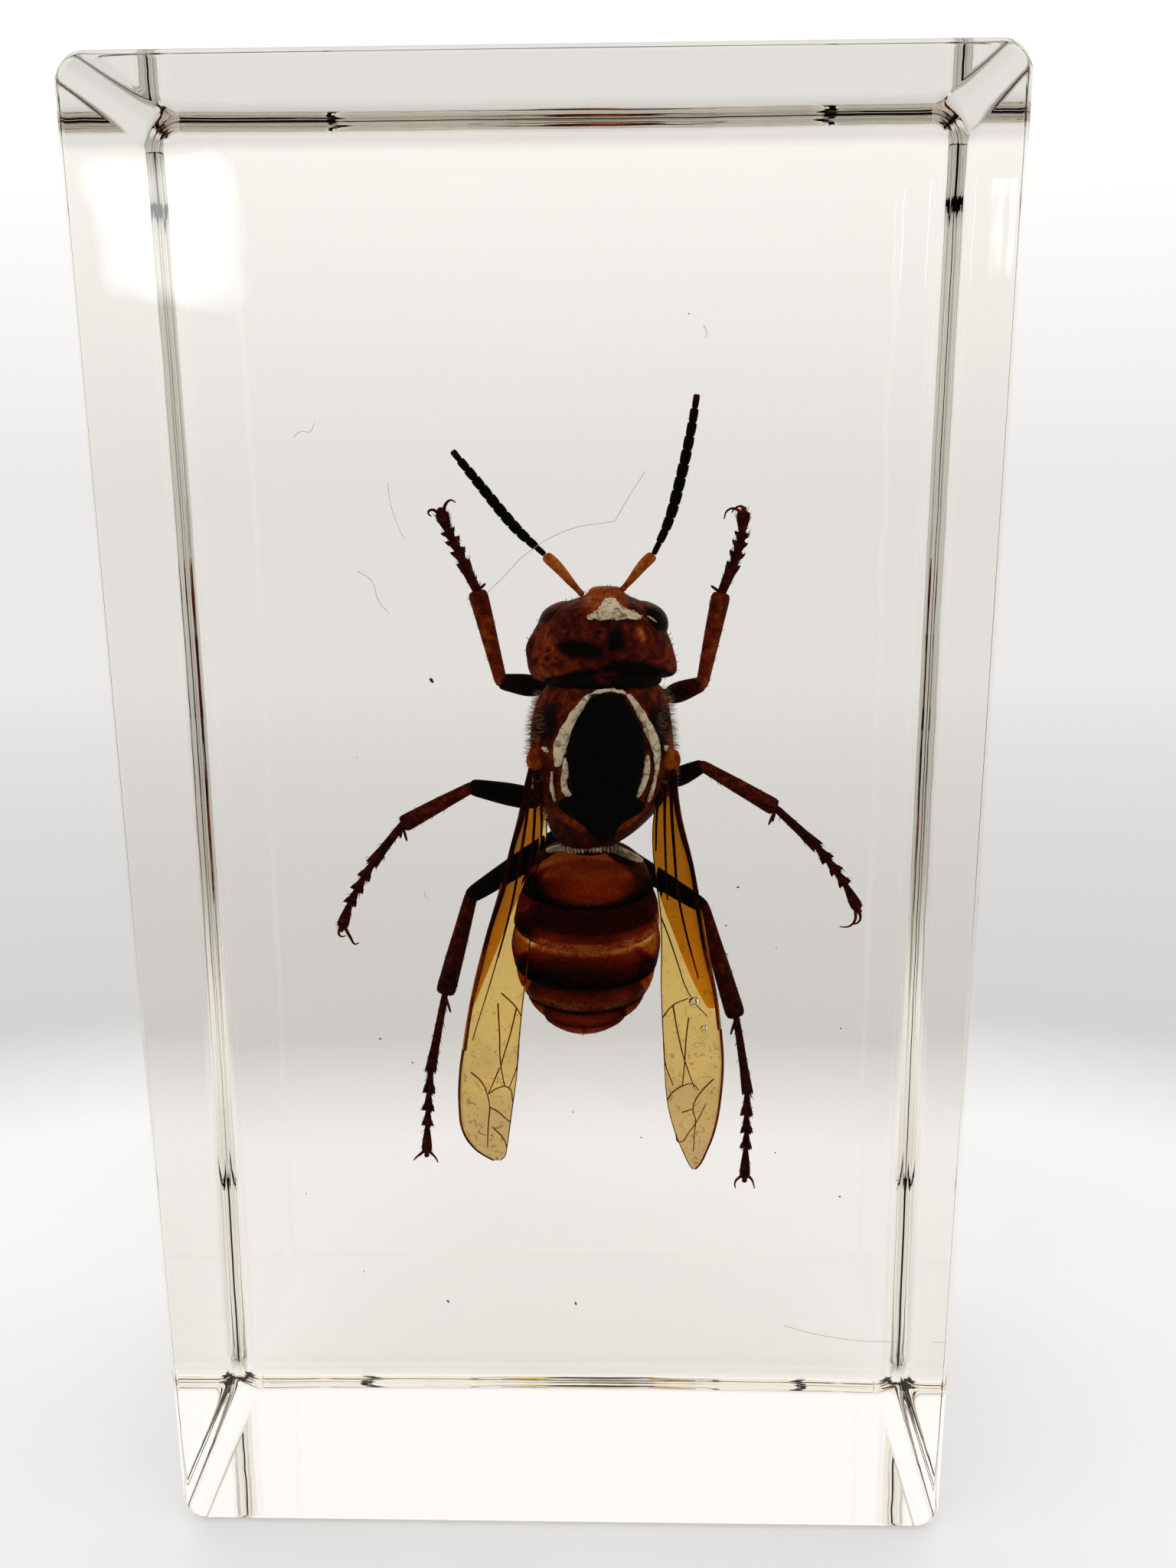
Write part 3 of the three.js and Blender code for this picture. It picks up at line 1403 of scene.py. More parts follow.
    def shoulder_scale(self, side: Side) -> bpy.types.Object:
        """The small amber scale over a wing's root."""
        across = side.value
        scale = draw_out(
            f"{side.label}_shoulder_scale",
            (
                Ring(0.0, 0.25, 0.18), Ring(0.25, 0.48, 0.3), Ring(0.7, 0.5, 0.32),
                Ring(1.05, 0.3, 0.2), Ring(1.15, 0.12, 0.08),
            ),
            sides=10,
            rounds=2,
        )
        aim(scale, (across * 3.45, -1.75, -0.35), (across * 3.55, -1.85, 0.8))
        grade(scale, lambda place: 0.62)
        return scale

    def air_seams(self, barrel: bpy.types.Object) -> list[bpy.types.Object]:
        """The pale films of air along the seams round the back plate."""
        lines = {
            "air_seam_outer_left": (
                (-0.62, 3.66, 0.1), (-0.93, 3.28, 0.18), (-1.27, 2.8, 0.24), (-1.66, 2.1, 0.3),
                (-1.98, 1.42, 0.35), (-2.14, 0.85, 0.34), (-2.2, 0.35, 0.22), (-2.22, -0.05, 0.1),
            ),
            "air_seam_outer_right": (
                (1.16, 3.66, 0.09), (1.54, 3.17, 0.16), (1.92, 2.5, 0.21), (2.26, 1.82, 0.25),
                (2.52, 1.13, 0.25), (2.64, 0.54, 0.19), (2.62, -0.06, 0.1), (2.52, -0.75, 0.09),
                (2.38, -1.35, 0.1), (2.2, -1.9, 0.08),
            ),
            "air_seam_top": (
                (-0.66, 3.62, 0.08), (-0.25, 3.76, 0.07), (0.3, 3.82, 0.07), (0.76, 3.78, 0.07),
                (1.18, 3.62, 0.08),
            ),
            "air_seam_inner_left": (
                (-1.84, 0.56, 0.09), (-1.84, 0.04, 0.15), (-1.88, -0.44, 0.16), (-1.96, -0.95, 0.17),
                (-1.78, -1.35, 0.22), (-1.6, -1.45, 0.12),
            ),
            "air_seam_inner_right": (
                (2.16, 0.66, 0.08), (2.14, 0.04, 0.14), (2.06, -0.55, 0.14), (1.86, -1.15, 0.13),
                (1.62, -1.6, 0.1),
            ),
            "air_seam_rear_left": (
                (-2.5, -0.2, 0.05), (-2.55, -0.8, 0.06), (-2.5, -1.4, 0.07), (-2.35, -1.9, 0.06),
            ),
            "air_spots_left": ((-2.98, 0.98, 0.1), (-2.82, 0.86, 0.14), (-2.7, 0.72, 0.08)),
            "air_spots_right": ((3.0, 0.98, 0.08), (3.1, 0.84, 0.12), (3.08, 0.68, 0.08)),
            "air_spot_side": ((3.38, -1.0, 0.1), (3.42, -1.2, 0.14), (3.38, -1.4, 0.08)),
        }
        films = []
        for name, line in lines.items():
            films.append(lay_on(draw_sheet(name, band(line)), barrel, 0.12, 0.1, 2, crumple=0.03))
        return films

    def build(self, shell: bpy.types.Material, air: bpy.types.Material, hair: bpy.types.Material) -> None:
        """Builds the thorax, dresses it and seals it in."""
        barrel = self.barrel()
        plates = [self.collar(), self.back_plate(barrel), self.rear_plate(barrel)]
        films = self.air_seams(barrel)
        down = sow_hairs(
            "thorax_down",
            barrel,
            1500,
            0.42,
            31,
            lean=(0.0, 0.0, -0.1),
            where=lambda place, normal: abs(normal.x) > 0.8 and place.z > -3.5,
            thick=0.011,
        )
        scales = [self.shoulder_scale(side) for side in Side]
        for piece in (barrel, *plates, *scales):
            seal(piece, shell)
        for film in films:
            seal(film, air)
        seal(down, hair)


# ------------------------------------------------------------------ the legs


class LegPattern:
    """The patterns that every leg is copied from, about one millimetre long and one in half-width."""

    SHAPES = {
        "hip": ((0.0, 0.5), (0.2, 0.85), (0.6, 1.0), (0.9, 0.75), (1.0, 0.45)),
        "thigh": ((0.0, 0.5), (0.06, 0.78), (0.3, 1.0), (0.6, 0.9), (0.85, 0.74), (0.98, 0.7), (1.04, 0.45)),
        "shin": ((0.0, 0.5), (0.03, 0.72), (0.2, 0.76), (0.55, 0.94), (0.86, 1.02), (0.97, 1.1), (1.01, 0.8)),
        "heel": ((0.0, 0.6), (0.05, 0.74), (0.5, 0.84), (0.85, 0.98), (0.97, 1.05), (1.01, 0.6)),
        "toe": ((0.0, 0.36), (0.12, 0.46), (0.6, 0.72), (0.9, 1.0), (0.97, 0.96), (1.0, 0.5)),
        "foot": ((0.0, 0.32), (0.1, 0.42), (0.5, 0.8), (0.8, 1.0), (0.94, 0.9), (1.0, 0.5)),
    }

    def __init__(self) -> None:
        """Builds the patterns."""
        self.made: dict[str, bpy.types.Object] = {}
        for name, shape in self.SHAPES.items():
            rings = [Ring(along, half, half) for along, half in shape]
            pattern = draw_out(f"pattern_{name}", rings, sides=10, rounds=1)
            if name in ("heel", "toe"):
                pattern = self.with_spines(pattern, name)
            self.made[name] = pattern

    def with_spines(self, pattern: bpy.types.Object, name: str) -> bpy.types.Object:
        """Adds the short spines that stand out at a tarsus joint's far end."""
        spines = []
        for across, deep in ((-1, 0.1), (1, 0.1), (-0.6, -0.75), (0.6, 0.75)):
            spine = draw_out(
                "spine", (Ring(0.0, 0.22, 0.22), Ring(0.2, 0.14, 0.14), Ring(0.42, 0.03, 0.03)), 6, 0
            )
            root = (across * 0.75, deep * 0.75, 0.84)
            spines.append(aim(spine, root, (across * 1.5, deep * 1.3, 1.22)))
        return join(f"pattern_{name}", [pattern, *spines])

    def lay(
        self, kind: str, foot: Place, tip: Place, wide: float, deep: float
    ) -> bpy.types.Object:
        """Copies a pattern between two points.

        Args:
            kind: The pattern's name.
            foot: Where it starts, in millimetres.
            tip: Where it ends.
            wide: Half its greatest width, as the viewer sees it.
            deep: Half its greatest depth.

        Returns:
            The copy.
        """
        joint = copy_of(self.made[kind], kind)
        reach = Vector(tip) - Vector(foot)
        start = Vector(foot) - reach.normalized() * wide * 0.45
        joint.scale = (wide, deep, reach.length + wide * 0.45)
        settle_transform(joint)
        return aim(joint, tuple(start), tip)

    def clear(self) -> None:
        """Throws the patterns away."""
        for pattern in self.made.values():
            discard(pattern)


@dataclass
class Leg:
    """One leg, from its hip on the belly's side to its claws."""

    side: Side
    pair: str
    root: Place
    hip: Place
    knee: Place
    ankle: Place
    toes: tuple[Place, ...]
    claws: tuple[tuple[Place, ...], ...]
    spurs: tuple[Place, ...]
    thigh_half: float
    shin_half: float
    heel_half: float
    thigh_shade: float
    shin_shade: float
    toe_shade: float = 0.34

    @property
    def label(self) -> str:
        """The leg's name as it starts its pieces' names."""
        return f"{self.side.label}_{self.pair}"

    def upper(self, patterns: LegPattern) -> list[bpy.types.Object]:
        """The hip, thigh and shin."""
        middle = tuple((Vector(self.root) * 0.45 + Vector(self.hip) * 0.55))
        hip = join(
            f"{self.label}_hip",
            [
                patterns.lay("hip", self.root, middle, self.thigh_half * 1.25, self.thigh_half * 1.2),
                patterns.lay("hip", middle, self.hip, self.thigh_half * 0.8, self.thigh_half * 0.8),
            ],
        )
        thigh = patterns.lay("thigh", self.hip, self.knee, self.thigh_half, self.thigh_half * 0.9)
        thigh.name = f"{self.label}_thigh"
        shin = patterns.lay("shin", self.knee, self.ankle, self.shin_half, self.shin_half * 0.85)
        shin.name = f"{self.label}_shin"
        grade(hip, lambda place: 0.12)
        hip_end, knee = Vector(self.hip), Vector(self.knee)
        span = (knee - hip_end).length
        grade(
            thigh,
            lambda place: self.thigh_shade
            + 0.16 * max(0.0, (place - hip_end).length / span - 0.72) / 0.28,
        )
        reach = (Vector(self.ankle) - knee).length
        grade(
            shin,
            lambda place: self.shin_shade - 0.1 * max(0.0, (place - knee).length / reach - 0.7) / 0.3,
        )
        return [hip, thigh, shin]

    def tarsus(self, patterns: LegPattern) -> bpy.types.Object:
        """The five tarsus joints, each flared and spined at its end."""
        stops = (self.ankle, *self.toes)
        halves = (self.heel_half, self.heel_half * 1.12, self.heel_half * 1.12, self.heel_half * 1.08)
        joints = [
            patterns.lay("heel" if number == 0 else "toe", foot, tip, half, half * 0.75)
            for number, (foot, tip, half) in enumerate(zip(stops, stops[1:], halves))
        ]
        joints.append(
            patterns.lay("foot", stops[-2], stops[-1], self.heel_half * 1.18, self.heel_half * 0.8)
        )
        tarsus = join(f"{self.label}_tarsus", joints)
        grade(tarsus, lambda place: self.toe_shade)
        return tarsus

    def talons(self, patterns: LegPattern) -> bpy.types.Object:
        """The two hooked claws, the pad between them and the spurs at the ankle."""
        parts = [wire("claw", line, 0.1, taper=0.3) for line in self.claws]
        for tip in self.spurs:
            parts.append(patterns.lay("hip", self.ankle, tip, 0.09, 0.09))
        end, before = Vector(self.toes[-1]), Vector(self.toes[-2])
        pad_end = end + (end - before).normalized() * 0.22
        parts.append(patterns.lay("hip", tuple(end), tuple(pad_end), 0.17, 0.12))
        talons = join(f"{self.label}_talons", parts)
        grade(talons, lambda place: self.toe_shade + 0.08)
        return talons

    def build(self, patterns: LegPattern, shell: bpy.types.Material, hair: bpy.types.Material) -> None:
        """Builds the leg, dresses it and seals it in."""
        hip, thigh, shin = self.upper(patterns)
        tarsus = self.tarsus(patterns)
        talons = self.talons(patterns)
        seed = 40 + 2 * len(self.pair) + self.side.value
        toward = (Vector(self.toes[0]) - Vector(self.ankle)).normalized() * 1.2
        bristles = [
            sow_hairs("bristles", tarsus, 130, 0.26, seed, tuple(toward), thick=0.02),
            sow_hairs("bristles", shin, 90, 0.16, seed + 20, tuple(toward), thick=0.014),
        ]
        seal(join(f"{self.label}_bristles", bristles), hair)
        for piece in (hip, thigh, shin, tarsus, talons):
            seal(piece, shell)


LEGS = (
    Leg(
        Side.LEFT, "fore",
        root=(-1.7, 2.6, 3.0), hip=(-3.5, 2.85, 3.5), knee=(-5.4, 2.2, 3.85), ankle=(-6.5, 1.7, 8.6),
        toes=(
            (-7.15, 1.5, 10.05), (-7.42, 1.4, 10.7), (-7.68, 1.35, 11.25), (-7.9, 1.3, 11.7),
            (-8.2, 1.2, 12.65),
        ),
        claws=(
            ((-8.08, 1.2, 12.55), (-7.91, 1.1, 13.06), (-7.65, 1.0, 13.22), (-7.42, 0.9, 13.1)),
            ((-8.3, 1.2, 12.58), (-8.66, 1.1, 12.74), (-8.82, 1.0, 12.58), (-8.66, 1.0, 12.4)),
        ),
        spurs=((-6.05, 1.6, 9.0),),
        thigh_half=0.66, shin_half=0.5, heel_half=0.33,
        thigh_shade=0.14, shin_shade=0.56, toe_shade=0.38,
    ),
    Leg(
        Side.RIGHT, "fore",
        root=(1.8, 2.6, 2.7), hip=(3.55, 2.8, 3.05), knee=(5.15, 2.2, 3.7), ankle=(6.05, 1.7, 8.45),
        toes=((6.62, 1.5, 9.9), (6.8, 1.4, 10.5), (6.93, 1.35, 11.05), (7.02, 1.3, 11.5), (7.08, 1.2, 12.6)),
        claws=(
            ((6.95, 1.2, 12.5), (6.6, 1.1, 12.72), (6.22, 1.0, 12.6), (6.08, 0.9, 12.2)),
            ((7.15, 1.2, 12.5), (7.0, 1.4, 12.8), (6.7, 1.6, 12.75), (6.5, 1.7, 12.5)),
        ),
        spurs=((5.5, 1.6, 8.85),),
        thigh_half=0.62, shin_half=0.5, heel_half=0.33,
        thigh_shade=0.32, shin_shade=0.58, toe_shade=0.38,
    ),
    Leg(
        Side.LEFT, "middle",
        root=(-2.2, 2.6, -1.8), hip=(-3.7, 2.7, -2.6), knee=(-7.05, 2.0, -1.8), ankle=(-10.8, 1.4, -3.75),
        toes=(
            (-12.45, 1.2, -5.85), (-12.95, 1.1, -6.65), (-13.35, 1.05, -7.35), (-13.75, 1.0, -8.1),
            (-14.25, 0.9, -9.45),
        ),
        claws=(
            ((-14.05, 0.9, -9.45), (-13.75, 0.8, -10.0), (-13.54, 0.7, -10.3), (-13.3, 0.6, -10.2)),
            ((-14.3, 0.95, -9.4), (-14.45, 1.1, -9.75), (-14.35, 1.3, -10.0), (-14.1, 1.45, -10.0)),
        ),
        spurs=((-10.55, 1.2, -4.65), (-10.95, 1.6, -4.55)),
        thigh_half=0.72, shin_half=0.47, heel_half=0.3,
        thigh_shade=-0.12, shin_shade=0.42,
    ),
    Leg(
        Side.RIGHT, "middle",
        root=(2.2, 2.6, -1.4), hip=(3.7, 2.7, -1.5), knee=(5.2, 2.0, -0.65), ankle=(9.1, 1.4, -2.85),
        toes=(
            (11.3, 1.2, -4.9), (11.9, 1.1, -5.65), (12.4, 1.05, -6.3), (12.85, 1.0, -6.95),
            (13.6, 0.9, -8.35),
        ),
        claws=(
            ((13.45, 0.9, -8.4), (13.42, 0.8, -8.95), (13.1, 0.7, -9.25), (12.6, 0.6, -9.25)),
            ((13.6, 0.95, -8.4), (13.75, 1.1, -8.85), (13.6, 1.3, -9.2), (13.3, 1.45, -9.3)),
        ),
        spurs=((8.72, 1.2, -3.75), (8.95, 1.6, -3.65)),
        thigh_half=0.6, shin_half=0.47, heel_half=0.3,
        thigh_shade=0.0, shin_shade=0.44,
    ),
    Leg(
        Side.LEFT, "hind",
        root=(-1.4, 2.3, -3.4), hip=(-1.7, 3.3, -4.4), knee=(-7.2, 1.6, -7.75), ankle=(-8.75, 1.2, -13.3),
        toes=(
            (-9.65, 1.0, -17.7), (-9.8, 0.95, -19.05), (-9.88, 0.9, -20.1), (-9.95, 0.9, -21.0),
            (-10.02, 0.8, -22.7),
        ),
        claws=(
            ((-10.12, 0.8, -22.5), (-10.4, 0.7, -22.72), (-10.62, 0.6, -22.88), (-10.75, 0.5, -23.02)),
            ((-9.92, 0.8, -22.5), (-9.72, 0.7, -22.68), (-9.5, 0.6, -22.9), (-9.36, 0.5, -23.15)),
        ),
        spurs=((-8.45, 1.0, -14.35), (-8.75, 1.4, -14.2)),
        thigh_half=0.75, shin_half=0.55, heel_half=0.28,
        thigh_shade=-0.12, shin_shade=0.38,
    ),
    Leg(
        Side.RIGHT, "hind",
        root=(-0.4, 2.4, -3.4), hip=(-0.1, 3.5, -5.2), knee=(5.3, 1.6, -8.35), ankle=(7.2, 1.2, -14.6),
        toes=(
            (7.88, 1.0, -18.9), (7.86, 0.95, -20.3), (7.88, 0.9, -21.35), (7.86, 0.9, -22.3),
            (7.8, 0.8, -24.15),
        ),
        claws=(
            ((7.7, 0.8, -23.9), (7.42, 0.7, -24.1), (7.27, 0.6, -24.3), (7.29, 0.5, -24.62)),
            ((7.9, 0.8, -23.9), (8.15, 0.7, -24.08), (8.27, 0.6, -24.3), (8.35, 0.5, -24.62)),
        ),
        spurs=((6.9, 1.0, -15.6), (7.1, 1.4, -15.4)),
        thigh_half=0.66, shin_half=0.55, heel_half=0.28,
        thigh_shade=-0.05, shin_shade=0.36,
    ),
)


# ------------------------------------------------------------------ the wings


@dataclass
class WingPair:
    """The fore and hind wing of one side, folded lengthwise into one narrow blade.

    rows gives the blade's outer and inner edge at each height; folded gives the same for the
    layers that lie under it near its root; veins are lines on it, as x and z. Each layer has
    columns places across, which are pleated to and fro by pleat_depth.
    """

    side: Side
    rows: tuple[tuple[float, float, float], ...]
    folded: tuple[tuple[float, float, float], ...]
    veins: tuple[tuple[tuple[float, float], ...], ...]
    root_veins: tuple[tuple[tuple[float, float], ...], ...]
    inner_depth: float
    outer_depth: float
    tip_depth: float
    columns: int = 7
    pleat_depth: float = 0.07

    def edges(self, z: float) -> tuple[float, float]:
        """Where the blade's outer and inner edges lie along X at a height."""
        return between(self.rows, z)

    def depth_at(self, x: float, z: float) -> float:
        """How far the blade's surface lies along Y at a place."""
        outer, inner = self.edges(z)
        across = min(1.0, max(0.0, (x - inner) / (outer - inner)))
        top, tip = self.rows[0][0], self.rows[-1][0]
        down = (top - min(top, max(tip, z))) / (top - tip)
        held = self.inner_depth + (self.outer_depth - self.inner_depth) * across
        root = -1.5 - 0.3 * across
        if down < 0.3:
            return root + (held - root) * down / 0.3
        return held + (self.tip_depth - held) * max(0.0, (down - 0.6) / 0.4)

    def sheet(
        self, name: str, rows: Sequence[tuple[float, float, float]], behind: float, thick: float
    ) -> bpy.types.Object:
        """One layer of the folded wing, pleated lengthwise."""
        places = []
        for z, outer, inner in rows:
            row = []
            for k in range(self.columns):
                share = k / (self.columns - 1)
                x = outer + (inner - outer) * share
                pleat = self.pleat_depth * (1 if k % 2 else -1) * min(1.0, abs(outer - inner) / 2)
                row.append((x, self.depth_at(x, z) + behind + pleat, z))
            places.append(row)
        layer = draw_sheet(name, places)
        smooth(layer, 1)
        apply_modifier(layer, "SOLIDIFY", thickness=thick * MM, offset=0.0)
        return layer

    def rim(self, place: Vector) -> float:
        """How strongly the dark front edge stains the membrane at a place."""
        inward = (self.edges(place.z)[0] - place.x) * self.side.value
        reach = 0.5 if place.z > -12.5 else 0.12
        return 0.8 * max(0.0, 1.0 - inward / reach)

    def rods(self) -> bpy.types.Object:
        """The veins: stout dark ones in a bunch at the root, thin amber ones further out."""
        rods = []
        edge = [(outer - self.side.value * 0.06, z) for z, outer, _ in self.rows]
        stigma = next(k for k, (_, z) in enumerate(edge) if z < -13.0)
        rods.append(self.rod(edge[: stigma + 1], 0.17, 0.55))
        rods.append(self.rod(edge[stigma:], 0.075, 0.6))
        rods.append(self.rod([(inner, z) for z, _, inner in self.rows[2:]], 0.035, 0.7))
        rods += [self.rod(line, 0.1, 0.45) for line in self.root_veins]
        rods += [self.rod(line, 0.042, 0.7) for line in self.veins]
        return join(f"{self.side.label}_wing_veins", rods)

    def rod(self, line: Sequence[tuple[float, float]], radius: float, taper: float) -> bpy.types.Object:
        """One vein along a line of x and z, laid on the membrane and held within its edges."""
        points = []
        for x, z in line:
            low, high = sorted(self.edges(z))
            held = min(high - radius, max(low + radius, x))
            points.append((held, self.depth_at(held, z) - radius * 0.4, z))
        return wire("vein", points, radius, taper)

    def build(self, skin: bpy.types.Material, vein: bpy.types.Material) -> None:
        """Builds the wings, dresses them and seals them in."""
        blade = self.sheet(f"{self.side.label}_forewing", self.rows, 0.0, 0.03)
        under = self.sheet(f"{self.side.label}_hindwing", self.folded, 0.22, 0.03)
        lower = self.sheet(f"{self.side.label}_forewing_fold", self.folded, 0.12, 0.03)
        grade(blade, self.rim, "rim")
        grade(under, lambda place: 0.12, "rim")
        grade(lower, lambda place: 0.1, "rim")
        veins = self.rods()
        grade(veins, lambda place: 0.62 if place.z < -10 else 0.3)
        seal(under, skin)
        seal(lower, skin)
        seal(blade, skin)
        seal(veins, vein)


WINGS = (
    WingPair(
        Side.LEFT,
        rows=(
            (-0.2, -3.85, -3.3), (-1.6, -4.2, -3.0), (-2.8, -4.4, -2.9), (-4.4, -4.9, -3.0),
            (-6.2, -5.3, -3.7), (-9.0, -6.2, -3.8), (-11.0, -6.7, -4.05), (-12.9, -7.2, -4.3),
            (-15.8, -7.7, -4.6), (-17.1, -7.9, -4.7), (-19.2, -8.0, -5.0), (-20.6, -7.85, -5.2),
            (-21.6, -7.3, -5.35), (-22.1, -6.7, -5.45), (-22.4, -6.2, -5.7),
        ),
        folded=(
            (-0.4, -3.9, -3.3), (-1.6, -4.2, -3.1), (-2.8, -4.4, -3.0), (-4.4, -4.9, -3.3),
            (-6.2, -5.3, -4.1), (-8.0, -5.85, -4.9), (-10.0, -6.45, -5.65), (-11.8, -6.95, -6.4),
            (-13.4, -7.25, -7.05),
        ),
        veins=(
            ((-5.45, -12.35), (-4.65, -13.1), (-4.2, -13.55)),
            ((-5.65, -12.95), (-5.6, -14.75), (-5.6, -16.35), (-5.4, -17.8)),
            ((-4.65, -13.1), (-5.05, -14.75), (-5.45, -16.1), (-5.6, -16.7)),
            ((-5.65, -16.7), (-5.95, -17.45), (-6.3, -18.25)),
            ((-4.15, -15.2), (-4.5, -16.5), (-5.15, -17.85)),
            ((-7.25, -17.05), (-6.65, -17.6), (-6.3, -18.65), (-6.25, -19.2)),
            ((-6.3, -18.3), (-5.75, -17.9), (-5.2, -17.85), (-4.7, -18.75)),
            ((-6.25, -19.2), (-6.4, -20.6), (-6.45, -21.6)),
            ((-6.25, -19.1), (-5.75, -19.4), (-5.35, -19.8), (-4.85, -19.95)),
            ((-6.1, -20.35), (-5.5, -21.1), (-5.0, -21.6)),
            ((-5.4, -9.6), (-5.85, -11.2), (-6.6, -13.6), (-7.1, -15.2)),
        ),
        root_veins=(
            ((-3.75, -0.6), (-3.95, -2.6), (-4.35, -5.0), (-4.85, -7.6), (-5.6, -10.4)),
            ((-3.5, -0.6), (-3.55, -2.6), (-3.75, -4.8), (-4.1, -6.6)),
            ((-3.3, -0.6), (-3.2, -2.6), (-3.25, -4.6)),
        ),
        inner_depth=-2.75, outer_depth=-1.7, tip_depth=-1.3,
    ),
    WingPair(
        Side.RIGHT,
        rows=(
            (-0.2, 3.75, 3.0), (-1.2, 3.8, 2.8), (-2.4, 3.95, 2.6), (-3.6, 4.2, 2.5),
            (-5.4, 4.7, 2.6), (-8.2, 5.15, 2.95), (-10.4, 5.55, 3.0), (-12.3, 6.0, 3.0),
            (-14.6, 6.3, 3.1), (-16.4, 6.45, 3.2), (-18.6, 6.35, 3.35), (-20.6, 6.05, 3.8),
            (-21.8, 5.65, 4.25), (-22.6, 5.3, 4.6), (-22.9, 5.05, 4.8),
        ),
        folded=(
            (-0.4, 3.75, 3.0), (-1.2, 3.8, 2.8), (-2.4, 3.95, 2.6), (-3.6, 4.2, 2.55),
            (-5.4, 4.7, 2.65), (-7.2, 5.0, 2.9), (-8.8, 5.3, 3.6), (-10.6, 5.6, 4.2),
            (-12.0, 5.9, 4.8), (-13.4, 6.15, 5.5),
        ),
        veins=(
            ((3.05, -13.7), (3.65, -13.05), (4.5, -12.7)),
            ((3.65, -13.05), (4.0, -15.0), (4.3, -16.25), (4.85, -17.9)),
            ((4.5, -13.8), (4.4, -14.75), (4.3, -16.6), (4.2, -17.8)),
            ((3.05, -15.2), (3.25, -16.3), (3.7, -17.75)),
            ((3.2, -18.6), (3.65, -18.2), (4.2, -17.8), (4.75, -17.7), (5.1, -18.1)),
            (
                (5.9, -17.45), (5.3, -18.1), (4.9, -18.75), (4.8, -19.3), (4.95, -19.85),
                (4.9, -20.6), (4.85, -21.8),
            ),
            ((4.2, -19.4), (4.8, -19.2)),
            ((3.7, -20.7), (4.05, -21.2), (4.6, -20.6), (5.15, -19.7), (5.5, -18.9)),
            ((2.95, -8.1), (3.4, -9.2), (3.95, -10.9), (4.3, -12.0), (4.9, -13.1), (5.5, -13.8)),
        ),
        root_veins=(
            ((3.45, -0.6), (3.5, -2.4), (3.65, -4.6), (3.85, -6.8), (4.4, -9.4), (5.0, -11.6)),
            ((3.2, -0.6), (3.15, -2.4), (3.2, -4.8), (3.3, -7.2)),
            ((2.95, -0.8), (2.75, -2.6), (2.7, -4.6)),
        ),
        inner_depth=-2.35, outer_depth=-1.5, tip_depth=-1.2,
    ),
)


# ------------------------------------------------------------------ the waist and gaster


@dataclass(frozen=True)
class Segment:
    """One gaster segment: where its sides start and end, how thin it is along it, and its tilt.

    hidden is the share of it that lies inside the segment before it.
    """

    front: float
    back: float
    shades: tuple[tuple[float, float], ...]
    patches: tuple[Patch, ...] = ()
    tilt: float = 0.36
    hidden: float = 0.08

    def shade(self, place: Vector) -> float:
        """How thin the shell is at a place: thinnest on the belly and where it is hidden."""
        along = (self.front - (place.z - self.tilt * place.y)) / (self.front - self.back)
        if along < self.hidden:
            return 1.0
        value = self.shades[-1][1]
        for (a, first), (b, second) in zip(self.shades, self.shades[1:]):
            if along <= b:
                value = first + (second - first) * max(0.0, (along - a)) / (b - a)
                break
        for patch in self.patches:
            value = patch.over(place, value)
        belly = min(1.0, max(0.0, (place.y - 0.3) / 1.2))
        return value + (1.0 - value) * belly


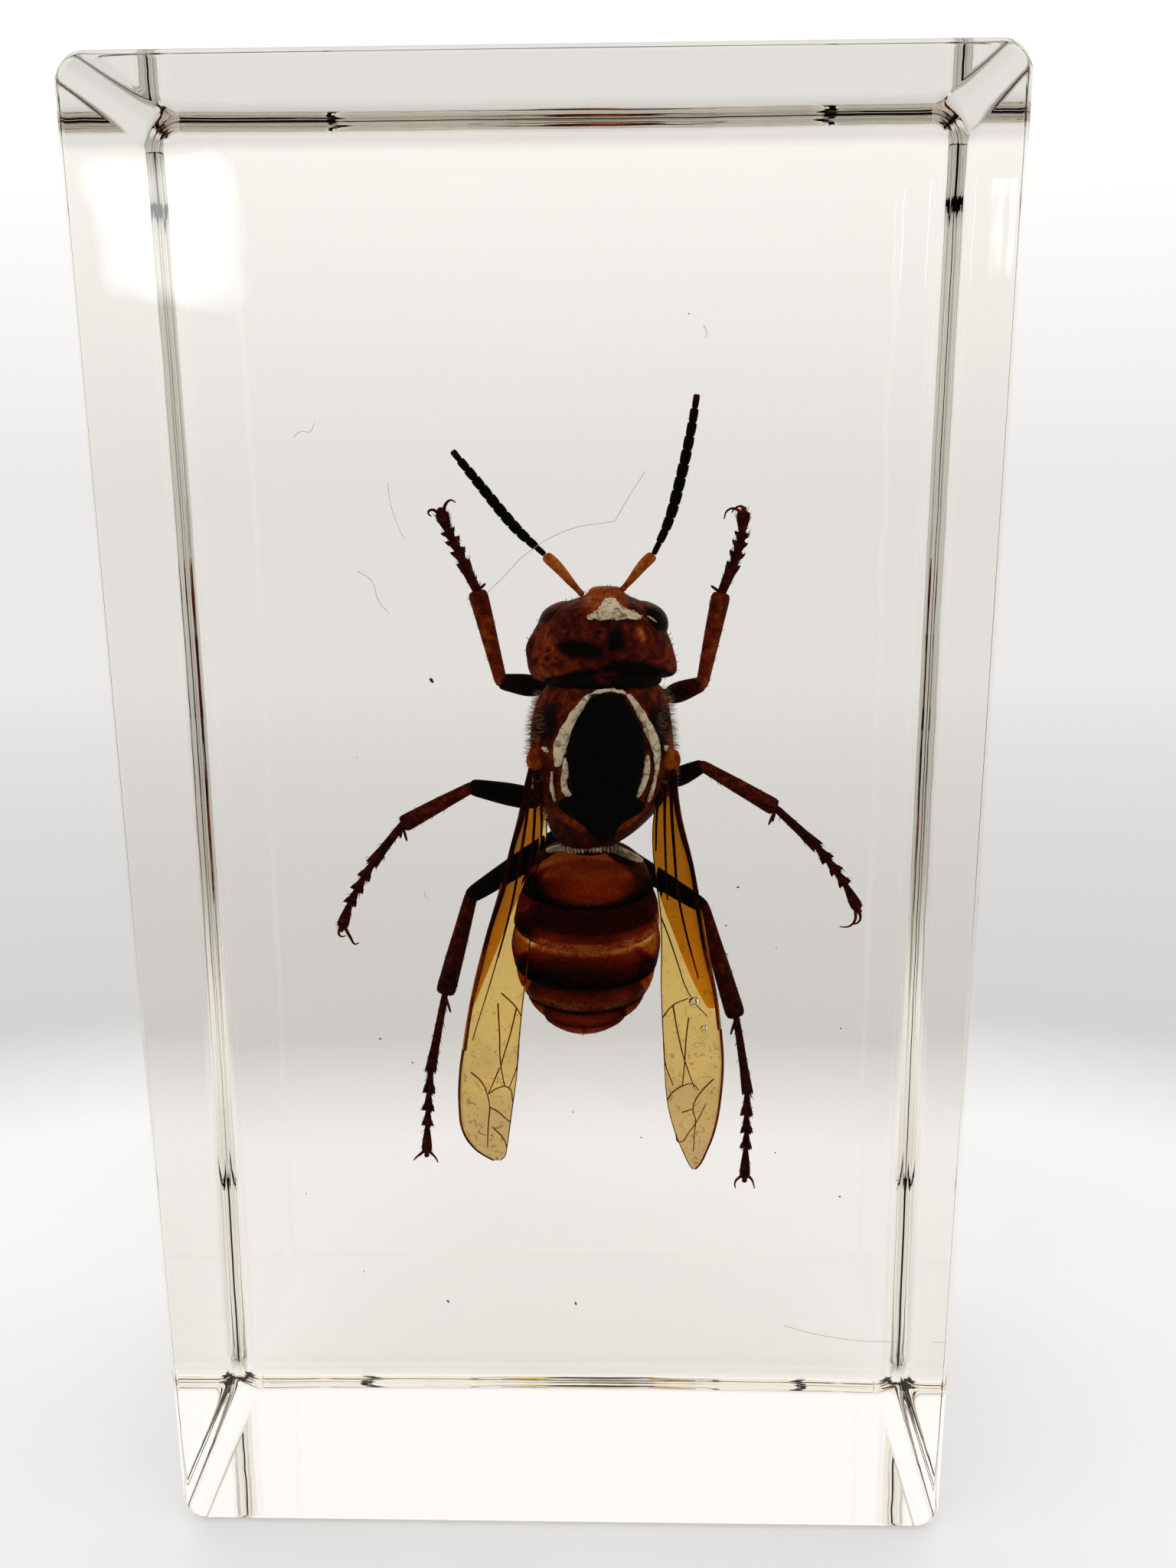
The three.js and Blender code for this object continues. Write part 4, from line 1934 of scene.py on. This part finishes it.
@dataclass
class Gaster:
    """The abdomen behind the waist: six segments that slide into each other.

    outline gives its middle along X and half its width at each height, and flatness its depth as
    a share of its width.
    """

    flatness: float = 0.83
    outline: tuple[tuple[float, float, float], ...] = (
        (-4.45, -0.7, 0.8), (-4.75, -0.8, 2.0), (-5.1, -0.9, 2.65), (-5.6, -0.9, 3.08),
        (-6.6, -0.9, 3.5), (-7.9, -0.9, 3.85), (-9.4, -0.95, 4.05), (-10.2, -1.0, 4.1),
        (-11.05, -1.0, 3.98), (-12.3, -1.02, 3.6), (-13.3, -1.0, 3.0), (-14.05, -1.08, 2.3),
        (-14.6, -1.12, 1.6), (-14.95, -1.15, 0.9), (-15.1, -1.16, 0.4),
    )
    segments: tuple[Segment, ...] = (
        Segment(
            -4.6, -7.0,
            ((0.0, 0.5), (0.4, 0.7), (0.75, 0.74), (0.9, 0.4), (1.0, 0.2)),
            (Patch(-0.6, -7.0, 1.9, 0.9, 0.82), Patch(-4.2, -7.5, 0.9, 2.5, 0.2)),
            tilt=0.28, hidden=-1.0,
        ),
        Segment(
            -6.4, -9.0,
            ((0.0, 0.1), (0.35, 0.05), (0.6, 0.2), (0.76, 0.6), (0.84, 0.7), (0.88, 0.93), (1.0, 0.93)),
            (Patch(-4.4, -8.6, 0.8, 2.0, 0.34),),
        ),
        Segment(
            -8.5, -11.3,
            (
                (0.0, 0.95), (0.17, 0.95), (0.22, 0.68), (0.42, 0.64), (0.58, 0.44), (0.85, 0.36),
                (1.0, 0.28),
            ),
            (
                Patch(-3.6, -11.6, 0.45, 0.35, 0.02), Patch(1.85, -11.75, 0.4, 0.35, 0.05),
                Patch(1.2, -11.2, 1.3, 0.4, 0.56),
            ),
        ),
        Segment(
            -10.95, -12.8,
            ((0.0, 0.4), (0.25, 0.76), (0.55, 0.94), (0.8, 0.92), (0.92, 0.5), (1.0, 0.6)),
        ),
        Segment(-12.5, -14.0, ((0.0, 0.5), (0.3, 0.7), (0.7, 0.7), (0.9, 0.78), (1.0, 0.9))),
        Segment(-13.7, -15.1, ((0.0, 0.55), (0.5, 0.7), (1.0, 0.9))),
    )

    def girth(self, z: float, share: float) -> Ring:
        """The cross-section at a height, at a share of its full size."""
        middle, full = between(self.outline, z)
        half = full * share
        return Ring(z, half, half * self.flatness, x=middle, y=0.1)

    def segment(self, number: int) -> bpy.types.Object:
        """One segment: a closed barrel with a fine lip at its rear edge."""
        plan = self.segments[number]
        span = plan.front - plan.back
        rings = [self.girth(plan.front - span * 0.02, 0.5 if number else 0.98)]
        last = number == len(self.segments) - 1
        for step in range(1, 9):
            along = step / 8
            share = 0.965 + 0.035 * min(1.0, along * 2.2) + (0.008 if along > 0.9 and not last else 0.0)
            rings.append(self.girth(plan.front - span * along, share))
        end = rings[-1]
        if not last:
            rings.append(Ring(plan.back - 0.05, end.wide * 0.985, end.deep * 0.985, end.x, end.y))
            rings.append(Ring(plan.back + 0.02, end.wide * 0.93, end.deep * 0.93, end.x, end.y))
        barrel = draw_out(f"gaster_segment_{number + 1}", rings, sides=20, rounds=1)
        self.tilt(barrel, plan)
        smooth(barrel, 1)
        grade(barrel, plan.shade)
        return barrel

    def tilt(self, barrel: bpy.types.Object, plan: Segment) -> None:
        """Tilts a segment so that its edges lie lower on the back than on the belly."""
        with shaping(barrel):
            bpy.ops.mesh.select_all(action="SELECT")
            middle = Vector((-1.0, 0.1, (plan.front + plan.back) / 2)) * MM
            bpy.ops.transform.rotate(
                value=-math.atan(plan.tilt), orient_axis="X", center_override=middle
            )

    def waist(self) -> bpy.types.Object:
        """The short stalk between thorax and gaster."""
        stalk = draw_out(
            "waist",
            (
                Ring(-4.2, 0.7, 0.8, x=-0.75, y=0.3), Ring(-4.55, 0.5, 0.6, x=-0.75, y=0.3),
                Ring(-4.85, 0.75, 0.8, x=-0.75, y=0.25), Ring(-5.2, 1.2, 1.2, x=-0.8, y=0.2),
            ),
            sides=14,
            rounds=2,
        )
        grade(stalk, lambda place: 0.4)
        return stalk

    def sting(self) -> bpy.types.Object:
        """The sting, drawn back until just its tip shows."""
        sting = draw_out(
            "sting",
            (
                Ring(0.0, 0.14, 0.14), Ring(0.3, 0.1, 0.1), Ring(0.62, 0.03, 0.03),
            ),
            sides=8,
            rounds=1,
        )
        aim(sting, (-1.15, 0.5, -14.75), (-1.13, 0.75, -15.5))
        grade(sting, lambda place: 0.3)
        return sting

    def air_bands(self, first: bpy.types.Object) -> list[bpy.types.Object]:
        """The film of air over the front of the gaster, and the row of beads at the waist."""
        crescent = (
            (-3.05, -5.0, 0.07), (-2.5, -4.84, 0.12), (-1.6, -4.7, 0.15), (-0.6, -4.64, 0.16),
            (0.4, -4.76, 0.15), (1.1, -5.04, 0.15), (1.6, -5.3, 0.13), (2.0, -5.55, 0.07),
        )
        film = lay_on(draw_sheet("air_on_gaster", band(crescent)), first, 0.05, 0.08, rounds=3)
        beads = []
        chance = random.Random(5)
        for number in range(16):
            x = -2.05 + number * 0.19
            bead = draw_out(
                "bead",
                (
                    Ring(-0.2, 0.05, 0.06), Ring(-0.08, 0.1, 0.1), Ring(0.08, 0.11, 0.1),
                    Ring(0.24, 0.04, 0.05),
                ),
                sides=6,
                rounds=1,
            )
            size = chance.uniform(0.8, 1.25)
            bead.scale = (size, size, size)
            settle_transform(bead)
            drop = 0.09 * abs(x + 0.6)
            beads.append(aim(bead, (x, -1.35 + 0.25 * abs(x + 0.6), -4.55 - drop), (x + 0.02, -1.5, -5.5)))
        return [film, join("air_at_waist", beads)]

    def build(
        self,
        shell: bpy.types.Material,
        waist: bpy.types.Material,
        air: bpy.types.Material,
        hair: bpy.types.Material,
    ) -> None:
        """Builds the waist and the gaster, dresses them and seals them in."""
        barrels = [self.segment(number) for number in range(len(self.segments))]
        films = self.air_bands(barrels[0])
        stalk, sting = self.waist(), self.sting()
        down = [sow_hairs("down", barrel, 110, 0.16, 70 + k, thick=0.011) for k, barrel in enumerate(barrels)]
        seal(join("gaster_down", down), hair)
        for barrel in barrels:
            seal(barrel, shell)
        seal(stalk, waist)
        seal(sting, waist)
        for film in films:
            seal(film, air)


# ------------------------------------------------------------------ things caught in the resin


@dataclass
class Inclusions:
    """The specks, fibres and bubbles that were caught when the block was cast."""

    specks: tuple[tuple[float, float, float, float], ...] = (
        (-8.9, 0.5, 4.1, 0.17), (-9.0, 0.0, -31.6, 0.12), (-1.7, 0.0, -31.7, 0.12),
        (7.1, 0.0, -6.95, 0.09), (6.5, 0.0, -9.1, 0.06), (9.2, 0.0, -10.3, 0.05),
        (-12.3, 0.0, -15.6, 0.08), (-10.55, 0.0, -17.0, 0.07), (-1.75, 0.0, -19.9, 0.06),
        (2.0, 0.0, -21.4, 0.06), (12.8, 0.0, -14.9, 0.08), (-12.6, -2.0, 0.4, 0.05),
        (9.5, 1.0, -22.6, 0.07), (13.3, 2.0, -25.6, 0.08), (-14.0, 2.0, -30.5, 0.06),
        (4.2, 1.0, 22.0, 0.05), (-9.6, 3.0, -3.4, 0.05), (-16.5, -2.0, -24.2, 0.06),
    )
    fibres: tuple[tuple[Place, ...], ...] = (
        ((-5.8, -1.5, 8.7), (-4.8, -1.6, 9.65), (-3.9, -1.7, 10.55), (-1.7, -1.8, 11.8), (0.6, -1.8, 12.2)),
        ((0.6, -1.8, 12.2), (1.25, -1.6, 13.3), (2.1, -1.4, 14.6)),
        ((-10.7, 0.0, 14.1), (-10.6, 0.1, 13.0), (-10.3, 0.2, 12.0), (-10.0, 0.3, 11.3)),
        ((-12.3, -1.0, 9.8), (-11.6, -1.0, 9.3), (-11.3, -1.0, 8.3), (-10.8, -1.0, 7.7)),
        ((-15.3, 0.0, 16.3), (-14.9, 0.1, 16.6), (-14.5, 0.1, 16.55), (-14.2, 0.0, 17.0)),
        ((10.3, 1.0, -33.4), (12.0, 1.3, -34.0), (14.5, 1.8, -34.6), (17.0, 2.2, -34.8)),
        ((-9.55, 0.0, -7.15), (-9.6, 0.05, -7.35), (-9.45, 0.1, -7.6)),
        ((4.8, -2.0, 21.3), (4.95, -2.0, 21.0), (4.9, -2.0, 20.7)),
    )
    bubbles: tuple[tuple[float, float, float, float], ...] = (
        (4.75, -2.6, -12.75, 0.31), (5.3, -2.4, -14.3, 0.21),
    )

    def dust(self) -> bpy.types.Object:
        """The specks: ragged grains copied from one pattern."""
        grain = draw_out(
            "grain",
            (
                Ring(-1.0, 0.25, 0.3, x=0.1), Ring(-0.5, 0.7, 0.5, x=-0.1, y=0.1),
                Ring(0.1, 0.6, 0.75, x=0.1), Ring(0.7, 0.5, 0.4, x=-0.15), Ring(1.05, 0.15, 0.2),
            ),
            sides=6,
            rounds=1,
        )
        chance = random.Random(8)
        grains = []
        for x, y, z, size in self.specks:
            speck = copy_of(grain, "speck")
            speck.rotation_euler = (chance.uniform(0, 3), chance.uniform(0, 3), chance.uniform(0, 3))
            speck.scale = (size, size * 0.8, size)
            speck.location = Vector((x, y, z)) * MM
            settle_transform(speck)
            grains.append(speck)
        discard(grain)
        return join("dark_specks", grains)

    def build(
        self, dust: bpy.types.Material, fibre: bpy.types.Material, bubble: bpy.types.Material
    ) -> None:
        """Builds what is caught in the resin, dresses it and seals it in."""
        seal(self.dust(), dust)
        threads = [wire("fibre", line, 0.014, 0.8, sides=0) for line in self.fibres]
        seal(join("fine_fibres", threads), fibre)
        for number, (x, y, z, radius) in enumerate(self.bubbles):
            ball = draw_out(
                f"air_bubble_{number + 1}",
                [
                    Ring(radius * math.sin(turn), radius * math.cos(turn), radius * math.cos(turn))
                    for turn in (math.radians(angle) for angle in (-80, -55, -30, 0, 30, 55, 80))
                ],
                sides=12,
                rounds=2,
            )
            ball.location = Vector((x, y, z)) * MM
            settle_transform(ball)
            seal(ball, bubble)


# ------------------------------------------------------------------ the studio


@dataclass
class Studio:
    """A plain pale floor that melts into a soft room: bright behind and above, dark in front.

    The floor is pale round a point that lies this far behind the block. near and far are how far
    from there, in millimetres, it starts to take the room's tone and has it wholly, dimmed at
    first; both are twice as far sideways. window is the way to a bright window. floor_radius is in
    metres.
    """

    floor_radius: float = 3.0
    gap: float = 0.05
    floor_glow: float = 0.22
    near: float = 31.0
    far: float = 52.0
    behind: float = 10.0
    dim: float = 0.8
    window: Place = (-0.30, -0.943, 0.147)
    tones: tuple[tuple[float, Colour], ...] = (
        (0.0, (0.026, 0.026, 0.025)), (0.04, (0.040, 0.040, 0.038)), (0.10, (0.22, 0.235, 0.22)),
        (0.25, (0.42, 0.43, 0.41)), (0.50, (0.68, 0.67, 0.65)), (0.76, (0.83, 0.82, 0.81)),
    )

    def tone(self, graph: Graph, heading: bpy.types.NodeSocket) -> bpy.types.NodeSocket:
        """The room's tone at eye level, by how far a heading leads to the back, from -1 to 1."""
        return graph.ramp(graph.band(heading, -1.0, 1.0), self.tones)

    def floor(self) -> None:
        """Lays the floor, a hair below the block's foot so that air stays between them."""
        clear_bench()
        bpy.ops.mesh.primitive_circle_add(
            vertices=96, radius=self.floor_radius, fill_type="NGON", location=(0, 0, -self.gap * MM)
        )
        floor = bpy.context.object
        floor.name = "floor"
        settle_transform(floor)
        graph = Graph("pale_floor")
        place = graph.millimetres()
        grain = graph.band(graph.noise(place, 0.02, 3.0), 0.3, 0.7, 0.76, 0.82)
        pale = graph.add(
            "ShaderNodeBsdfPrincipled",
            Base_Color=graph.add(
                "ShaderNodeCombineColor", Red=grain, Green=grain, Blue=grain
            ).outputs[0],
            Roughness=0.6,
            Emission_Color=(1.0, 1.0, 0.99),
            Emission_Strength=self.floor_glow,
        )
        moved = graph.add(
            "ShaderNodeMapping", Vector=place, Location=(0.0, -self.behind, 0.0), Scale=(0.5, 1.0, 1.0)
        ).outputs[0]
        reach = graph.add("ShaderNodeVectorMath", {"operation": "LENGTH"}, Vector=moved).outputs["Value"]
        way = graph.add("ShaderNodeVectorMath", {"operation": "NORMALIZE"}, Vector=place).outputs[0]
        heading = graph.add("ShaderNodeSeparateXYZ", Vector=way).outputs["Y"]
        room = graph.add(
            "ShaderNodeEmission",
            Color=self.tone(graph, heading),
            Strength=graph.band(reach, self.far, self.far * 5, self.dim, 1.0),
        )
        share = graph.band(reach, self.near, self.far)
        floor.data.materials.append(graph.finish(graph.blend(share, pale, room)))

    def room(self) -> None:
        """Wraps the scene in soft light."""
        graph = Graph("soft_room", room=True)
        place = graph.add("ShaderNodeTexCoord").outputs["Generated"]
        parts = graph.add("ShaderNodeSeparateXYZ", Vector=place)
        height = parts.outputs["Z"]
        wall = self.tone(graph, parts.outputs["Y"])
        lit = graph.mix(1.0, wall, graph.band(height, -0.02, 0.26, 1.0, 1.32), "MULTIPLY")
        dome = graph.mix(graph.band(height, 0.32, 0.75), lit, (0.99, 0.99, 0.985))
        offset = tuple(-share for share in self.window)
        moved = graph.add("ShaderNodeMapping", Vector=place, Location=offset).outputs[0]
        apart = graph.add("ShaderNodeVectorMath", {"operation": "ABSOLUTE"}, Vector=moved).outputs[0]
        away = graph.add("ShaderNodeSeparateXYZ", Vector=apart).outputs
        reach = graph.maths("SMOOTH_MAX", away["X"], away["Z"], 0.03)
        ragged = graph.band(graph.noise(place, 14.0, 2.0), 0.3, 0.7, -0.006, 0.006)
        front = graph.maths("LESS_THAN", parts.outputs["Y"], 0.0)
        pane = graph.band(graph.maths("ADD", reach, ragged), 0.032, 0.048, 7.0, 0.0)
        pane = graph.maths("MULTIPLY", pane, front)
        wall_light = graph.add("ShaderNodeBackground", Color=dome)
        pane_light = graph.add("ShaderNodeBackground", Color=(1.0, 1.0, 1.0), Strength=pane)
        both = graph.add("ShaderNodeAddShader")
        graph.tree.links.new(wall_light.outputs[0], both.inputs[0])
        graph.tree.links.new(pane_light.outputs[0], both.inputs[1])
        bpy.context.scene.world = graph.finish(both)
        bpy.context.scene.view_settings.view_transform = "Standard"

    def build(self) -> None:
        """Sets up the studio."""
        self.floor()
        self.room()


@dataclass
class Viewpoint:
    """The camera: close in front, a little above the middle, looking slightly down."""

    place: Place = (3.34, -72.0, 56.23)
    pitch: float = 13.68
    yaw: float = -1.404
    roll: float = -0.366
    lens: float = 30.76

    def build(self) -> None:
        """Makes the camera and gives it to the scene."""
        camera = bpy.data.cameras.new("camera")
        camera.lens = self.lens
        camera.sensor_width = 36.0
        camera.clip_start = 0.001
        stand = bpy.data.objects.new("camera", camera)
        bpy.context.scene.collection.objects.link(stand)
        stand.location = Vector(self.place) * MM
        tip = Matrix.Rotation(math.radians(90.0 - self.pitch), 4, "X")
        turn = Matrix.Rotation(math.radians(-self.yaw), 4, "Z")
        roll = Matrix.Rotation(math.radians(self.roll), 4, "Z")
        stand.rotation_euler = (turn @ tip @ roll).to_euler()
        bpy.context.scene.camera = stand


# ------------------------------------------------------------------ putting it together


def main() -> None:
    """Builds the block, the hornet in it, what was caught with it, the studio and the camera."""
    logging.basicConfig(level=logging.INFO, format="%(message)s")
    shell = Shell("hornet_shell", roughness=0.5).make()
    eye = Shell("eye_shell", mottle=0.08, cells=3.0, roughness=0.4, pits=0.15).make()
    banded = Shell(
        "gaster_shell", mottle=0.05, cells=0.9, glow=0.2, clear=0.9, roughness=0.4, pits=0.2,
        stops=GASTER_STOPS,
    ).make()
    slope = Shell("waist_shell", mottle=0.1, glow=0.4).make()
    vein = Shell("wing_vein", mottle=0.08, cells=2.0, glow=0.6, pits=0.1).make()
    skin = WingSkin("wing_skin").make()
    air = AirFilm("trapped_air").make()
    dull_air = AirFilm("dull_trapped_air", (0.46, 0.32, 0.15), (0.12, 0.06, 0.02), 1.6).make()
    gold_hair = Fibre("golden_down", (0.45, 0.26, 0.08), (0.75, 0.55, 0.25)).make()
    dark_hair = Fibre("dark_bristle", (0.03, 0.006, 0.003), (0.12, 0.02, 0.008)).make()
    dust = Fibre("dust", (0.03, 0.022, 0.015), (0.1, 0.07, 0.045), glow=0.0).make()
    thread = Fibre("pale_fibre", (0.8, 0.8, 0.78), (0.9, 0.88, 0.85), glow=0.85).make()

    ResinBlock().build()
    Head().build(shell, eye, air, dark_hair)
    antennae = (
        Antenna(
            Side.LEFT, base=(-1.1, 0.6, 8.5), elbow=(-2.95, 0.3, 10.5),
            whip=((-4.35, 0.1, 11.8), (-5.75, -0.2, 13.5), (-7.4, -0.5, 15.6)),
        ),
        Antenna(
            Side.RIGHT, base=(1.0, 0.6, 8.75), elbow=(2.55, 0.3, 10.5),
            whip=((3.3, 0.1, 12.2), (3.85, -0.1, 14.2), (4.3, -0.3, 16.3), (4.6, -0.5, 18.2)),
        ),
    )
    for antenna in antennae:
        antenna.build(shell, dark_hair)
    Thorax().build(shell, air, gold_hair)
    patterns = LegPattern()
    for leg in LEGS:
        leg.build(patterns, shell, dark_hair)
    patterns.clear()
    Gaster().build(banded, slope, dull_air, dark_hair)
    for wing in WINGS:
        wing.build(skin, vein)
    Inclusions().build(dust, thread, AirBubble().make())
    Studio().build()
    Viewpoint().build()


if __name__ == "__main__":
    main()
